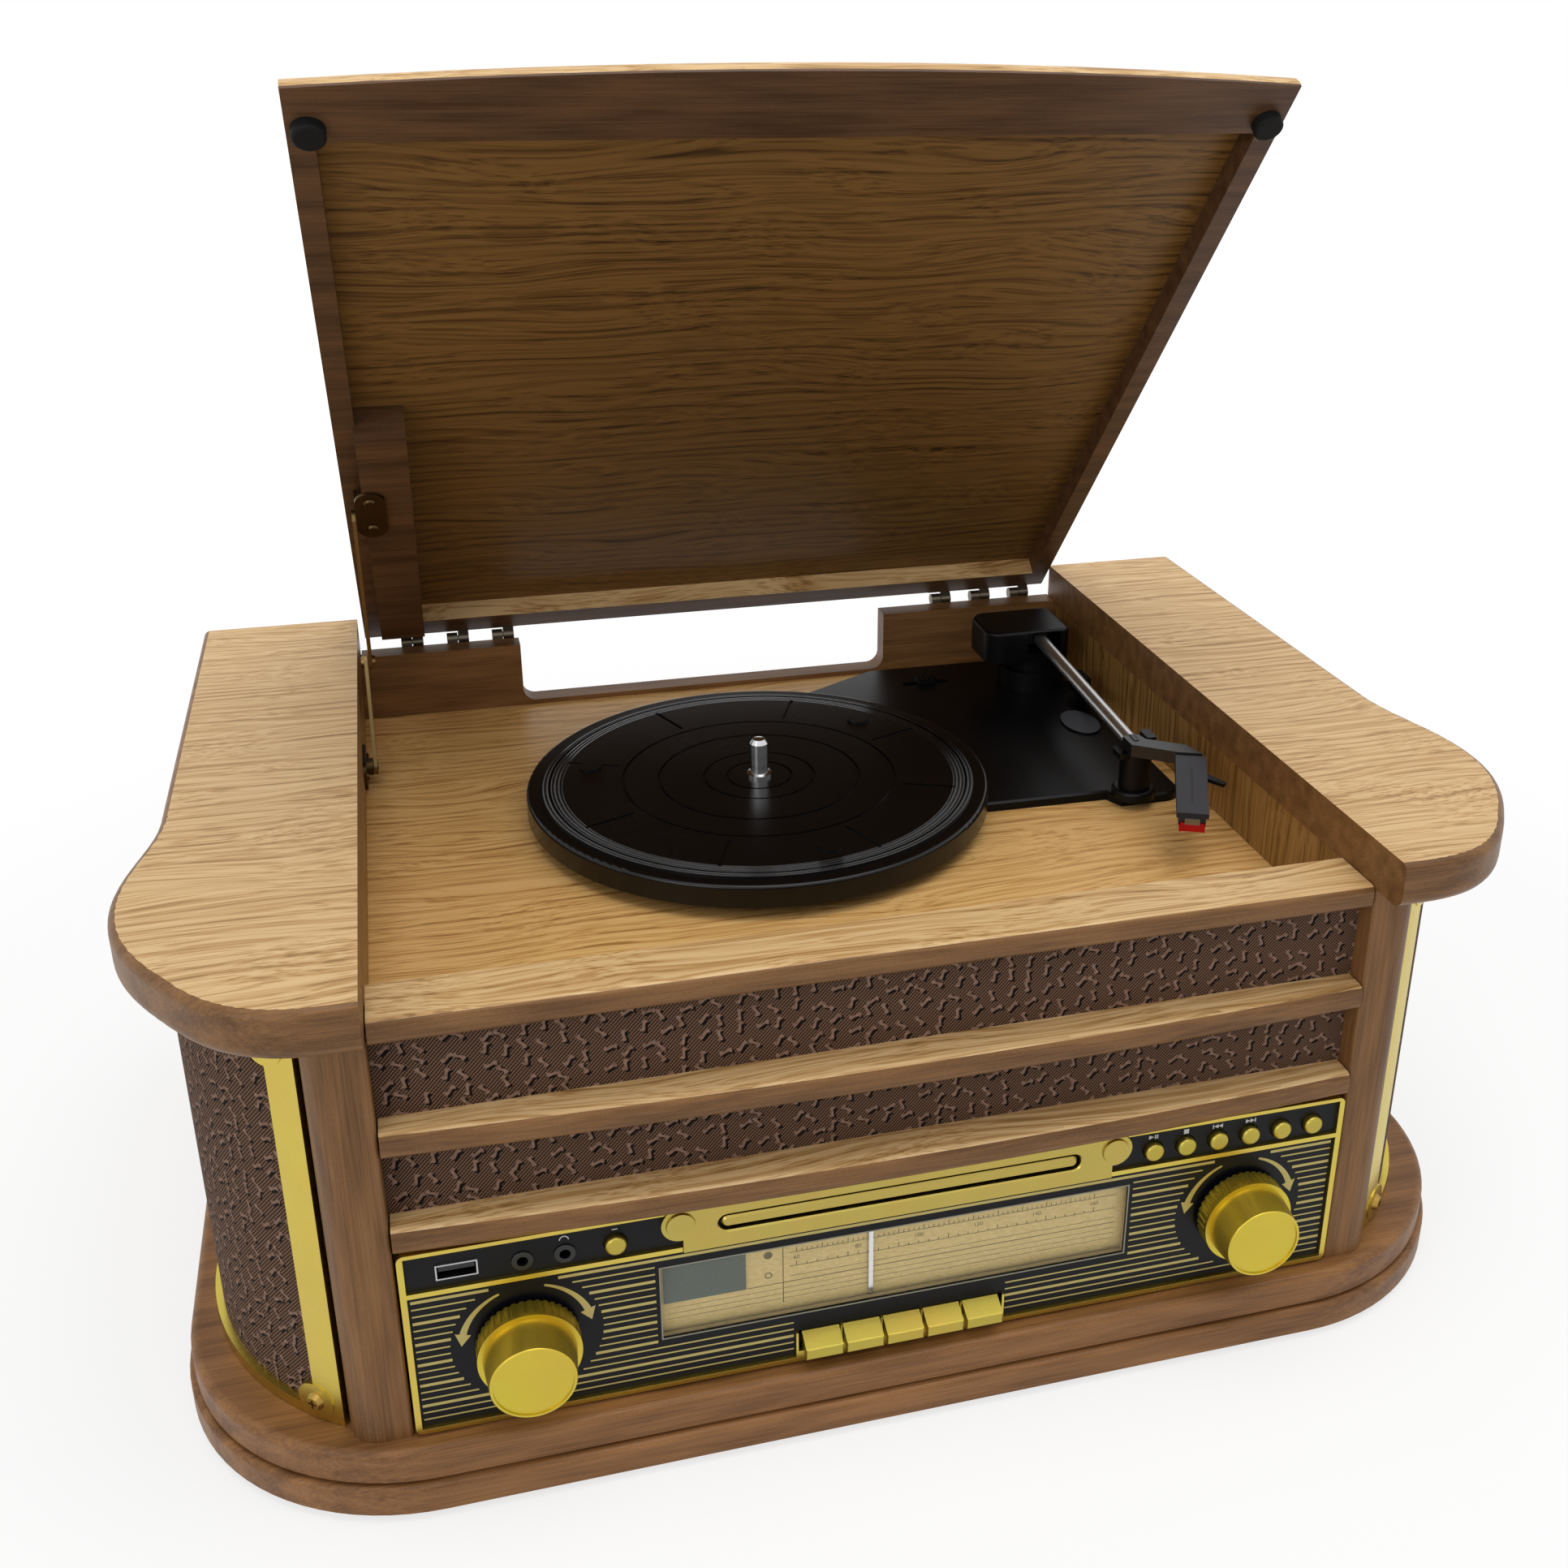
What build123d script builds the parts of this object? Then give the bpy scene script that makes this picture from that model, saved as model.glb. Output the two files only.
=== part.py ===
from build123d import *
import math
import os

os.makedirs("parts", exist_ok=True)

# All sizes in millimetres. X runs to the right, Y to the back, Z up, the feet stand on Z = 0.

# Half width of the opening between the front posts, which sets every other width
rail_half_w = 164.8

# Heights of the cabinet
foot_h = 3.5
base_lower_h = 10.5
base_groove_h = 1.5
base_upper_h = 12.0
body_h = 157.5
cap_h = 17.0
base_groove_z = foot_h + base_lower_h
base_upper_z = base_groove_z + base_groove_h
base_top = base_upper_z + base_upper_h
cap_bottom = base_top + body_h
cap_top = cap_bottom + cap_h

# Base plinth outline
base_half_w = rail_half_w + 77.2
base_front = -160.0
base_back = 161.0
base_corner_r = 85.0
base_rear_r = 7.0
base_step = 2.0
base_groove_depth = 3.5
base_edge_r = 3.0
base_lower_edge_r = 2.0
base_ring_w = 46.0

# Feet
foot_r = 9.0
foot_x = base_half_w - 57.0
foot_front_y = -120.0
foot_back_y = 128.0

# Body walls
back_outer = 160.0
back_t = 10.0
back_inner = back_outer - back_t
side_outer_x = rail_half_w + 54.2
side_t = 12.0
side_front_y = -15.5
front_plane = -141.0
front_board_t = 10.0
front_back = front_plane + front_board_t

# Front posts
post_in_x = rail_half_w + 0.5
post_out_x = post_in_x + 19.7
post_front = -150.5
post_step_y = -139.8
post_step_x = post_in_x + 14.7
post_round = 10.0

# Curved side grilles, each an arc of one radius around its own centre
grille_cx = rail_half_w - 31.8
grille_cy = -57.5
cloth_r = 96.5
cloth_t = 4.0
grille_start_deg = -56.5
grille_end_deg = 24.5
gold_t = 2.5
gold_start_deg = -57.0
gold_strip_deg = 6.3
gold_band_h = 4.5
gold_gap_z = 0.2
ear_r = 7.0
ear_lift = 0.3
ear_inset_deg = 6.0
ear_inset_z = 7.7
ear_top_inset_z = 12.0
grille_screw_r = 1.4
grille_screw_hole_r = 1.45
grille_head_r = 3.3
grille_head_h = 1.7
grille_screw_len = 8.0

# Flared side caps
cap_in_x = rail_half_w + 0.2
cap_side_x = cap_in_x + 64.5
cap_bulge_x = cap_in_x + 73.8
cap_bulge_y = -88.0
cap_flare_y = -28.0
cap_corner_x = cap_in_x + 55.5
cap_corner_y = -139.0
cap_front_x = cap_in_x + 10.0
cap_front = -166.3
cap_back = 159.5
cap_top_round = 3.0
cap_bottom_round = 5.0

# Record well: floor board, side walls and front sill
floor_t = 10.0
well_depth = 27.6
floor_top = cap_bottom - well_depth
floor_half_w = rail_half_w + 15.2
well_wall_x = rail_half_w + 1.2
well_wall_t = 10.0
sill_h = 8.5
sill_top = cap_bottom + 1.0
sill_front = -150.9
sill_back = -129.0
sill_half_w = rail_half_w - 0.2
sill_round = 2.5
notch_left = -95.0
notch_right = 77.0
notch_bottom = floor_top + 2.2
notch_r = 6.0
back_top = cap_bottom + 2.0

# Front rails
rail_h = 9.6
rail_upper_z = cap_bottom - 47.6
rail_lower_z = base_top + 73.9
rail_end_y = -152.0
rail_mid_y = -156.5
cloth_sheet_t = 1.3
cloth_sheet_front = front_plane - cloth_sheet_t

# Control panel
panel_half_w = rail_half_w - 0.4
panel_bottom = base_top + 1.1
panel_top = rail_lower_z - 0.3
panel_face = -151.6
plate_face = -150.3
plate_t = 3.0
plate_back = plate_face + plate_t
frame_border = 2.0
frame_top_border = 1.4
frame_skirt = 0.8
divider_z = panel_top - 16.0
divider_h = 1.8
cd_plate_half_w = 75.0
cd_plate_face = -152.2
cd_plate_bottom = divider_z - 0.9
lobe_x = cd_plate_half_w + 0.7
lobe_z = panel_top - 5.5
lobe_r = 6.3
lobe_disc_r = 4.9
lobe_disc_h = 0.8
lobe_gap = 0.2
tray_z = panel_top - 7.8
slot_w = 126.6
slot_h = 6.4
tray_w = 124.2
tray_h = 4.2
window_w = 165.4
window_h = 29.2
window_z = panel_bottom + 34.5
pane_t = 1.3
key_w = 13.1
key_pitch = 14.4
key_h = 6.9
key_front_h = 4.2
key_z = panel_bottom + 8.35
key_face = -157.3
key_back = -143.5
key_slot_w = 73.6
key_slot_h = 7.9
separator_w = 0.6
button_z = panel_top - 9.5
button_first_x = lobe_x + lobe_r + 8.9
button_pitch = (panel_half_w - 12.0 - button_first_x) / 5
button_r = 0.2886 * button_pitch
button_gap = 0.35
button_face = -153.0
button_flange_r = button_r + 1.15
button_flange_t = 1.2
usb_x = 17.9 - panel_half_w
usb_z = panel_top - 9.0
usb_w = 13.1
usb_h = 5.7
record_x = -lobe_x - lobe_r - 14.7
aux_x = usb_x + 0.4076 * (record_x - usb_x)
phones_x = usb_x + 0.6767 * (record_x - usb_x)
jack_z = panel_top - 10.1
jack_r = 3.5
jack_bore_r = 1.8
knob_x = panel_half_w - 37.9
knob_z = panel_bottom + 31.1
knob_skirt_r = 16.7
knob_skirt_len = 7.0
knob_body_r = 15.0
knob_front_r = 13.7
knob_back = -152.2
knob_front = -171.3
knob_dish_r = 12.7
knob_dish = 0.5
knob_flutes = 40
shaft_r = 3.0
run_gap = 0.06

# Turntable
spindle_x = -12.5
spindle_y = 17.0
platter_r = 92.1
platter_bottom = floor_top + 5.6
platter_top = platter_bottom + 9.4
spindle_r = 3.55
spindle_top = platter_top + 16.5
deck_t = 4.0
deck_top = floor_top + deck_t
pivot_x = well_wall_x - 25.7
pivot_y = 113.0
arm_z = floor_top + 28.1
arm_lean_deg = 2.9
tube_r = 2.9
tube_bore_r = 2.3
tube_len = 135.0
tube_tail = 10.0
stub_r = 5.0
yoke_bottom = arm_z - 8.8
yoke_top = arm_z + 6.0
pin_r = 1.5
rest_x = pivot_x - 3.8
rest_y = pivot_y - tube_len + 6.0
rest_r = 6.4
rest_collar_r = 9.0
deck_right = well_wall_x - 8.0
deck_front = rest_y - 2.0
deck_back = 142.5
head_x = pivot_x + 9.3
head_y = rest_y - 22.0
head_deg = 23.5
head_w = 12.0
head_len = 42.0

# Lid, drawn in the closed position from its hinge line, then laid on the opened plane
hinge_y = 162.8
hinge_z = back_top + 1.2
open_deg = 49.1
lid_half_w = rail_half_w - 2.3
lid_rear = -2.8
lid_front_end = -325.0
lid_front_mid = -331.5
rim_w = 2.2
rail_depth = 8.5
lid_panel_t = 3.5
lid_side_rail = 8.0
lid_front_rail_inner = -304.0
lid_rear_rail_inner = -14.0
lid_nose_r = 8.0
lid_panel_setback = 10.5
block_left = 7.5 - lid_half_w
block_right = block_left + 18.5
block_end = -162.5
block_drop = 8.0
bumper_r = 5.2
bumper_x = lid_half_w - 6.5
bumper_v = -309.2
bumper_t = 4.1
hinge_leaf_len = 52.0
hinge_leaf_h = 9.5
hinge_left_x = 40.5 - lid_half_w
hinge_right_x = lid_half_w - 32.8
barrel_r = 2.6
hinge_pin_r = 1.2
hinge_leaf_t = 1.2
knuckle_pitch = 20.2
knuckle_len = 4.7
knuckle_gap = 0.3

# Folding stay of the lid
stay_lid_along = 109.05
stay_lid_off = -3.4
stay_wall_y = hinge_y - 84.82
stay_wall_z = hinge_z - 22.38
stay_knee_y = hinge_y - 64.5
stay_knee_z = hinge_z + 16.2
stay_arm_w = 7.0
stay_arm_t = 1.4
stay_upper_x = 2.5 - lid_half_w
stay_lower_x = stay_upper_x - 1.9
stay_pin_r = 1.6
stay_plate_mid = -115.5
stay_plate_len = 30.0
stay_plate_w = 11.5

hinge_line = (0, hinge_y, hinge_z)
open_rad = math.radians(open_deg)
lid_normal = (0, math.sin(open_rad), math.cos(open_rad))
lid_plane = Plane(origin=hinge_line, x_dir=(1, 0, 0), z_dir=lid_normal)

# Base plinth: two stepped boards with a groove between them
with BuildPart() as base:
    with BuildSketch(Plane.XY.offset(foot_h)) as base_low_outline:
        with Locations((0, (base_front + base_back) / 2)):
            Rectangle(2 * base_half_w, base_back - base_front)
        fillet(base_low_outline.vertices().group_by(Axis.Y)[0], base_corner_r)
        fillet(base_low_outline.vertices().group_by(Axis.Y)[-1], base_rear_r)
    extrude(amount=base_lower_h)
    fillet(base.faces().sort_by(Axis.Z)[-1].edges(), base_lower_edge_r)
    with BuildSketch(Plane.XY.offset(base_groove_z)) as base_groove_outline:
        with Locations((0, (base_front + base_back) / 2)):
            Rectangle(2 * (base_half_w - base_groove_depth), base_back - base_front - 2 * base_groove_depth)
        fillet(base_groove_outline.vertices().group_by(Axis.Y)[0], base_corner_r - base_groove_depth)
        fillet(base_groove_outline.vertices().group_by(Axis.Y)[-1], base_rear_r)
    extrude(amount=base_groove_h)
    with BuildSketch(Plane.XY.offset(base_upper_z)) as base_up_outline:
        with Locations((0, (base_front + base_back) / 2)):
            Rectangle(2 * (base_half_w - base_step), base_back - base_front - 2 * base_step)
        fillet(base_up_outline.vertices().group_by(Axis.Y)[0], base_corner_r - base_step)
        fillet(base_up_outline.vertices().group_by(Axis.Y)[-1], base_rear_r)
    extrude(amount=base_upper_h)
    fillet(base.faces().sort_by(Axis.Z)[-1].edges(), base_edge_r)
    with BuildSketch(Plane.XY.offset(base_groove_z)):
        Rectangle(2 * (base_half_w - base_step - base_ring_w), base_back - base_front - 2 * base_ring_w)
    extrude(amount=base_groove_h + base_upper_h, mode=Mode.SUBTRACT)
base.part.label = "base"
export_step(base.part, "parts/base.step")

# Four round rubber feet
with BuildPart() as feet:
    with BuildSketch(Plane.XY):
        with Locations((-foot_x, foot_front_y), (foot_x, foot_front_y)):
            Circle(foot_r)
        with Locations((-foot_x, foot_back_y), (foot_x, foot_back_y)):
            Circle(foot_r)
    extrude(amount=foot_h)
    chamfer(feet.faces().group_by(Axis.Z)[0].edges(), 0.8)
feet.part.label = "feet"
export_step(feet.part, "parts/feet.step")

# Flat side boards behind the curved grilles
with BuildPart() as side_panels:
    with BuildSketch(Plane.XY.offset(base_top)):
        with Locations((side_outer_x - side_t / 2, (side_front_y + back_inner) / 2)):
            Rectangle(side_t, back_inner - side_front_y)
    extrude(amount=body_h)
    mirror(about=Plane.YZ)
side_panels.part.label = "side_panels"
export_step(side_panels.part, "parts/side_panels.step")

# Rounded front posts with a rebate for the grille
with BuildPart() as posts:
    with BuildSketch(Plane.XY.offset(base_top)) as post_outline:
        with BuildLine():
            Polyline(
                (post_in_x, front_back),
                (post_in_x, post_front),
                (post_out_x, post_front),
                (post_out_x, post_step_y),
                (post_step_x, post_step_y),
                (post_step_x, front_back),
                close=True,
            )
        make_face()
        fillet(post_outline.vertices().sort_by_distance((post_out_x, post_front, base_top))[0], post_round)
        fillet(post_outline.vertices().sort_by_distance((post_in_x, post_front, base_top))[0], 1.2)
    extrude(amount=body_h)
    mirror(about=Plane.YZ)
posts.part.label = "posts"
export_step(posts.part, "parts/posts.step")

# Planes square to the grille arc at its screws, right-hand side
gold_end_deg = grille_end_deg + 0.5
gold_outer_r = cloth_r + gold_t
screw_front_deg = gold_start_deg + ear_inset_deg
screw_rear_deg = gold_end_deg - ear_inset_deg
screw_low_z = base_top + ear_inset_z
screw_high_z = cap_bottom - ear_top_inset_z
front_dir = (math.cos(math.radians(screw_front_deg)), math.sin(math.radians(screw_front_deg)), 0)
rear_dir = (math.cos(math.radians(screw_rear_deg)), math.sin(math.radians(screw_rear_deg)), 0)
front_low = Plane(
    origin=(grille_cx + cloth_r * front_dir[0], grille_cy + cloth_r * front_dir[1], screw_low_z),
    x_dir=(0, 0, 1),
    z_dir=front_dir,
)
rear_low = Plane(
    origin=(grille_cx + cloth_r * rear_dir[0], grille_cy + cloth_r * rear_dir[1], screw_low_z),
    x_dir=(0, 0, 1),
    z_dir=rear_dir,
)
screw_rise = screw_high_z - screw_low_z

# Curved speaker cloth panels on the two front quarters
with BuildPart() as grille_cloths:
    with BuildSketch(Plane.XY.offset(base_top)):
        with BuildLine():
            cloth_outer = CenterArc((grille_cx, grille_cy), cloth_r, grille_start_deg, grille_end_deg - grille_start_deg)
            cloth_inner = CenterArc(
                (grille_cx, grille_cy), cloth_r - cloth_t, grille_start_deg, grille_end_deg - grille_start_deg
            )
            Line(cloth_outer @ 0, cloth_inner @ 0)
            Line(cloth_outer @ 1, cloth_inner @ 1)
        make_face()
    extrude(amount=body_h)
    with BuildSketch(front_low.offset(-cloth_t - 1)):
        with Locations((0, 0), (screw_rise, 0)):
            Circle(grille_screw_hole_r)
    extrude(amount=cloth_t + 2, mode=Mode.SUBTRACT)
    with BuildSketch(rear_low.offset(-cloth_t - 1)):
        with Locations((0, 0), (screw_rise, 0)):
            Circle(grille_screw_hole_r)
    extrude(amount=cloth_t + 2, mode=Mode.SUBTRACT)
    mirror(about=Plane.YZ)
grille_cloths.part.label = "grille_cloths"
export_step(grille_cloths.part, "parts/grille_cloths.step")

# Gold frames around the curved cloth, with screw ears in the corners
with BuildPart() as grille_frames:
    with BuildSketch(Plane.XY.offset(base_top + gold_gap_z)):
        with BuildLine():
            gold_outer = CenterArc((grille_cx, grille_cy), gold_outer_r, gold_start_deg, gold_end_deg - gold_start_deg)
            gold_inner = CenterArc((grille_cx, grille_cy), cloth_r, gold_start_deg, gold_end_deg - gold_start_deg)
            Line(gold_outer @ 0, gold_inner @ 0)
            Line(gold_outer @ 1, gold_inner @ 1)
        make_face()
    extrude(amount=body_h - 2 * gold_gap_z)
    with BuildSketch(Plane.XY.offset(base_top + gold_band_h)):
        with BuildLine():
            gap_start = gold_start_deg + gold_strip_deg
            gap_end = gold_end_deg - gold_strip_deg
            gap_outer = CenterArc((grille_cx, grille_cy), gold_outer_r + 3, gap_start, gap_end - gap_start)
            gap_inner = CenterArc((grille_cx, grille_cy), cloth_r - 3, gap_start, gap_end - gap_start)
            Line(gap_outer @ 0, gap_inner @ 0)
            Line(gap_outer @ 1, gap_inner @ 1)
        make_face()
    extrude(amount=body_h - 2 * gold_band_h, mode=Mode.SUBTRACT)
    with BuildSketch(front_low.offset(ear_lift)):
        with Locations((0, 0), (screw_rise, 0)):
            Circle(ear_r)
    extrude(amount=gold_t)
    with BuildSketch(rear_low.offset(ear_lift)):
        with Locations((0, 0), (screw_rise, 0)):
            Circle(ear_r)
    extrude(amount=gold_t)
    with BuildSketch(front_low.offset(-1)):
        with Locations((0, 0), (screw_rise, 0)):
            Circle(grille_screw_hole_r)
    extrude(amount=gold_t + 2, mode=Mode.SUBTRACT)
    with BuildSketch(rear_low.offset(-1)):
        with Locations((0, 0), (screw_rise, 0)):
            Circle(grille_screw_hole_r)
    extrude(amount=gold_t + 2, mode=Mode.SUBTRACT)
    mirror(about=Plane.YZ)
grille_frames.part.label = "grille_frames"
export_step(grille_frames.part, "parts/grille_frames.step")

# Round-headed screws of the grille frames
with BuildPart() as grille_screws:
    with BuildSketch(front_low.offset(gold_t + ear_lift)):
        with Locations((0, 0), (screw_rise, 0)):
            Circle(grille_head_r)
    extrude(amount=grille_head_h, taper=28)
    with BuildSketch(rear_low.offset(gold_t + ear_lift)):
        with Locations((0, 0), (screw_rise, 0)):
            Circle(grille_head_r)
    extrude(amount=grille_head_h, taper=28)
    with BuildSketch(front_low.offset(gold_t + ear_lift + 0.7)):
        with Locations((0, 0), (screw_rise, 0)):
            Rectangle(3.4, 0.8)
            Rectangle(0.8, 3.4)
    extrude(amount=2, mode=Mode.SUBTRACT)
    with BuildSketch(rear_low.offset(gold_t + ear_lift + 0.7)):
        with Locations((0, 0), (screw_rise, 0)):
            Rectangle(3.4, 0.8)
            Rectangle(0.8, 3.4)
    extrude(amount=2, mode=Mode.SUBTRACT)
    with BuildSketch(front_low.offset(gold_t + ear_lift)):
        with Locations((0, 0), (screw_rise, 0)):
            Circle(grille_screw_r)
    extrude(amount=-grille_screw_len)
    with BuildSketch(rear_low.offset(gold_t + ear_lift)):
        with Locations((0, 0), (screw_rise, 0)):
            Circle(grille_screw_r)
    extrude(amount=-grille_screw_len)
    mirror(about=Plane.YZ)
grille_screws.part.label = "grille_screws"
export_step(grille_screws.part, "parts/grille_screws.step")

# Flared caps over the two sides, straight at the back and swelling out over the grilles
with BuildPart() as caps:
    with BuildSketch(Plane.XY.offset(cap_bottom)):
        with BuildLine():
            cap_rear = Line((cap_in_x, cap_back), (cap_side_x, cap_back))
            cap_straight = Line(cap_rear @ 1, (cap_side_x, cap_flare_y))
            cap_flare = Spline(cap_straight @ 1, (cap_bulge_x, cap_bulge_y), tangents=((0, -1), (0, -1)))
            cap_nose = Spline(
                cap_flare @ 1,
                (cap_corner_x, cap_corner_y),
                (cap_front_x, cap_front),
                tangents=((0, -1), (-1, 0)),
            )
            cap_front_line = Line(cap_nose @ 1, (cap_in_x, cap_front))
            Line(cap_front_line @ 1, cap_rear @ 0)
        make_face()
    extrude(amount=cap_h)
    cap_top_edges = caps.faces().sort_by(Axis.Z)[-1].edges()
    fillet(
        cap_top_edges.filter_by(lambda e: e.center().X > cap_in_x + 1 and e.center().Y < cap_back - 1),
        cap_top_round,
    )
    cap_low_edges = caps.faces().sort_by(Axis.Z)[0].edges()
    fillet(
        cap_low_edges.filter_by(lambda e: e.center().X > cap_in_x + 1 and e.center().Y < cap_back - 1),
        cap_bottom_round,
    )
    mirror(about=Plane.YZ)
caps.part.label = "caps"
export_step(caps.part, "parts/caps.step")

# Inner side walls of the record well
with BuildPart() as well_walls:
    with BuildSketch(Plane.XY.offset(floor_top)):
        with Locations((well_wall_x + well_wall_t / 2, (front_back + back_inner) / 2)):
            Rectangle(well_wall_t, back_inner - front_back - 0.2)
    extrude(amount=cap_bottom - floor_top)
    mirror(about=Plane.YZ)
well_walls.part.label = "well_walls"
export_step(well_walls.part, "parts/well_walls.step")

# Floor board of the well, cut out under the record player
motor_x = spindle_x + 43.0
motor_y = spindle_y + 44.0
motor_r = 17.5
with BuildPart() as deck_board:
    with BuildSketch(Plane.XY.offset(floor_top - floor_t)) as floor_outline:
        with Locations((0, (front_back + back_inner) / 2)):
            Rectangle(2 * floor_half_w, back_inner - front_back)
        with Locations((spindle_x, spindle_y)):
            Circle(58, mode=Mode.SUBTRACT)
        with Locations((motor_x, motor_y)):
            Circle(motor_r + 5, mode=Mode.SUBTRACT)
        with Locations((96, 95)):
            Rectangle(56, 74, mode=Mode.SUBTRACT)
    extrude(amount=floor_t)
deck_board.part.label = "deck_board"
export_step(deck_board.part, "parts/deck_board.step")

# Sill board across the front of the well
with BuildPart() as sill:
    with BuildSketch(Plane.XY.offset(sill_top - sill_h)):
        with Locations((0, (sill_front + sill_back) / 2)):
            Rectangle(2 * sill_half_w, sill_back - sill_front)
    extrude(amount=sill_h)
    fillet(sill.edges().filter_by(Axis.X).group_by(Axis.Y)[0], sill_round)
sill.part.label = "sill"
export_step(sill.part, "parts/sill.step")

# Front board behind the cloth, open behind the control panel
with BuildPart() as front_board:
    with BuildSketch(Plane.XZ.offset(-front_back)):
        with Locations((0, (base_top + sill_top - sill_h) / 2)):
            Rectangle(2 * (post_in_x - 0.1), sill_top - sill_h - base_top)
        with Locations((0, (panel_bottom + panel_top) / 2 - 0.05)):
            Rectangle(2 * (panel_half_w - 4.4), panel_top - panel_bottom - 2.9, mode=Mode.SUBTRACT)
    extrude(amount=front_board_t)
front_board.part.label = "front_board"
export_step(front_board.part, "parts/front_board.step")

# Woven cloth sheet stretched over the front board
with BuildPart() as front_cloth:
    with BuildSketch(Plane.XZ.offset(-front_plane)):
        with Locations((0, (rail_lower_z + sill_top - sill_h) / 2)):
            Rectangle(2 * (post_in_x - 0.1), sill_top - sill_h - rail_lower_z)
    extrude(amount=cloth_sheet_t)
front_cloth.part.label = "front_cloth"
export_step(front_cloth.part, "parts/front_cloth.step")

# Two bowed rails across the cloth
with BuildPart() as rails:
    with BuildSketch(Plane.XY.offset(rail_lower_z)):
        with BuildLine():
            rail_bow = ThreePointArc((-rail_half_w, rail_end_y), (0, rail_mid_y), (rail_half_w, rail_end_y))
            Polyline(
                rail_bow @ 0,
                (-rail_half_w, cloth_sheet_front),
                (rail_half_w, cloth_sheet_front),
                rail_bow @ 1,
            )
        make_face()
    extrude(amount=rail_h)
    fillet(rails.edges().filter_by(GeomType.CIRCLE).group_by(Axis.Z)[-1], 2.5)
    fillet(rails.edges().filter_by(GeomType.CIRCLE).group_by(Axis.Z)[0], 3.5)
    with Locations((0, 0, rail_upper_z - rail_lower_z)):
        add(rails.part)
rails.part.label = "rails"
export_step(rails.part, "parts/rails.step")

# Back board with the notch behind the platter, sockets, vents and cable holes
rca_x = rail_half_w - 14.8
rca_z = base_top + 92.5
inlet_x = rca_x - 40.0
aerial_x = 60.0
with BuildPart() as back_panel:
    with BuildSketch(Plane.XZ.offset(-back_outer)) as back_outline:
        with Locations((0, (base_top + cap_bottom) / 2)):
            Rectangle(2 * side_outer_x, body_h)
        with Locations((0, (cap_bottom + back_top) / 2)):
            Rectangle(2 * sill_half_w, back_top - cap_bottom)
        with Locations(((notch_left + notch_right) / 2, notch_bottom + 20)):
            RectangleRounded(notch_right - notch_left, 40, notch_r, mode=Mode.SUBTRACT)
        with Locations(((notch_left + notch_right) / 2, notch_bottom + 30)):
            Rectangle(notch_right - notch_left, 40, mode=Mode.SUBTRACT)
        with Locations((rca_x, rca_z + 9), (rca_x, rca_z - 9)):
            Circle(6.2, mode=Mode.SUBTRACT)
        with Locations((inlet_x, rca_z)):
            Circle(5.2, mode=Mode.SUBTRACT)
        with Locations((aerial_x, rca_z)):
            Circle(4.2, mode=Mode.SUBTRACT)
        with GridLocations(14, 0, 9, 1):
            with Locations((-80, 75)):
                SlotOverall(46, 5, rotation=90, mode=Mode.SUBTRACT)
    extrude(amount=back_t)
back_panel.part.label = "back_panel"
export_step(back_panel.part, "parts/back_panel.step")

# Rear sockets: a pair of phono sockets, a power inlet and an aerial socket
with BuildPart() as rear_sockets:
    with BuildSketch(Plane.XZ.offset(-back_outer - 1.5)):
        with Locations((rca_x, rca_z)):
            RectangleRounded(22, 42, 3)
        with Locations((inlet_x, rca_z)):
            RectangleRounded(22, 22, 3)
        with Locations((aerial_x, rca_z)):
            RectangleRounded(18, 18, 3)
        with Locations((rca_x, rca_z + 9), (rca_x, rca_z - 9)):
            Circle(1.6, mode=Mode.SUBTRACT)
        with Locations((inlet_x, rca_z)):
            Circle(4.0, mode=Mode.SUBTRACT)
        with Locations((aerial_x, rca_z)):
            Circle(2.0, mode=Mode.SUBTRACT)
    extrude(amount=1.5)
    with BuildSketch(Plane.XZ.offset(-back_outer)):
        with Locations((rca_x, rca_z + 9), (rca_x, rca_z - 9)):
            Circle(6.0)
            Circle(1.6, mode=Mode.SUBTRACT)
        with Locations((inlet_x, rca_z)):
            Circle(5.0)
            Circle(4.0, mode=Mode.SUBTRACT)
        with Locations((aerial_x, rca_z)):
            Circle(4.0)
            Circle(2.0, mode=Mode.SUBTRACT)
    extrude(amount=back_t + 4)
    with BuildSketch(Plane.XZ.offset(-back_outer - 10)):
        with Locations((rca_x, rca_z + 9), (rca_x, rca_z - 9)):
            Circle(4.2)
            Circle(1.6, mode=Mode.SUBTRACT)
    extrude(amount=8.5)
    with BuildSketch(Plane.XZ.offset(-back_inner + 4)):
        with Locations((inlet_x, rca_z)):
            Circle(5.0)
    extrude(amount=1.5)
    with BuildSketch(Plane.XZ.offset(-back_inner + 4)):
        with Locations((inlet_x, rca_z)):
            Circle(0.9)
    extrude(amount=-9)
rear_sockets.part.label = "rear_sockets"
export_step(rear_sockets.part, "parts/rear_sockets.step")

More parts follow.
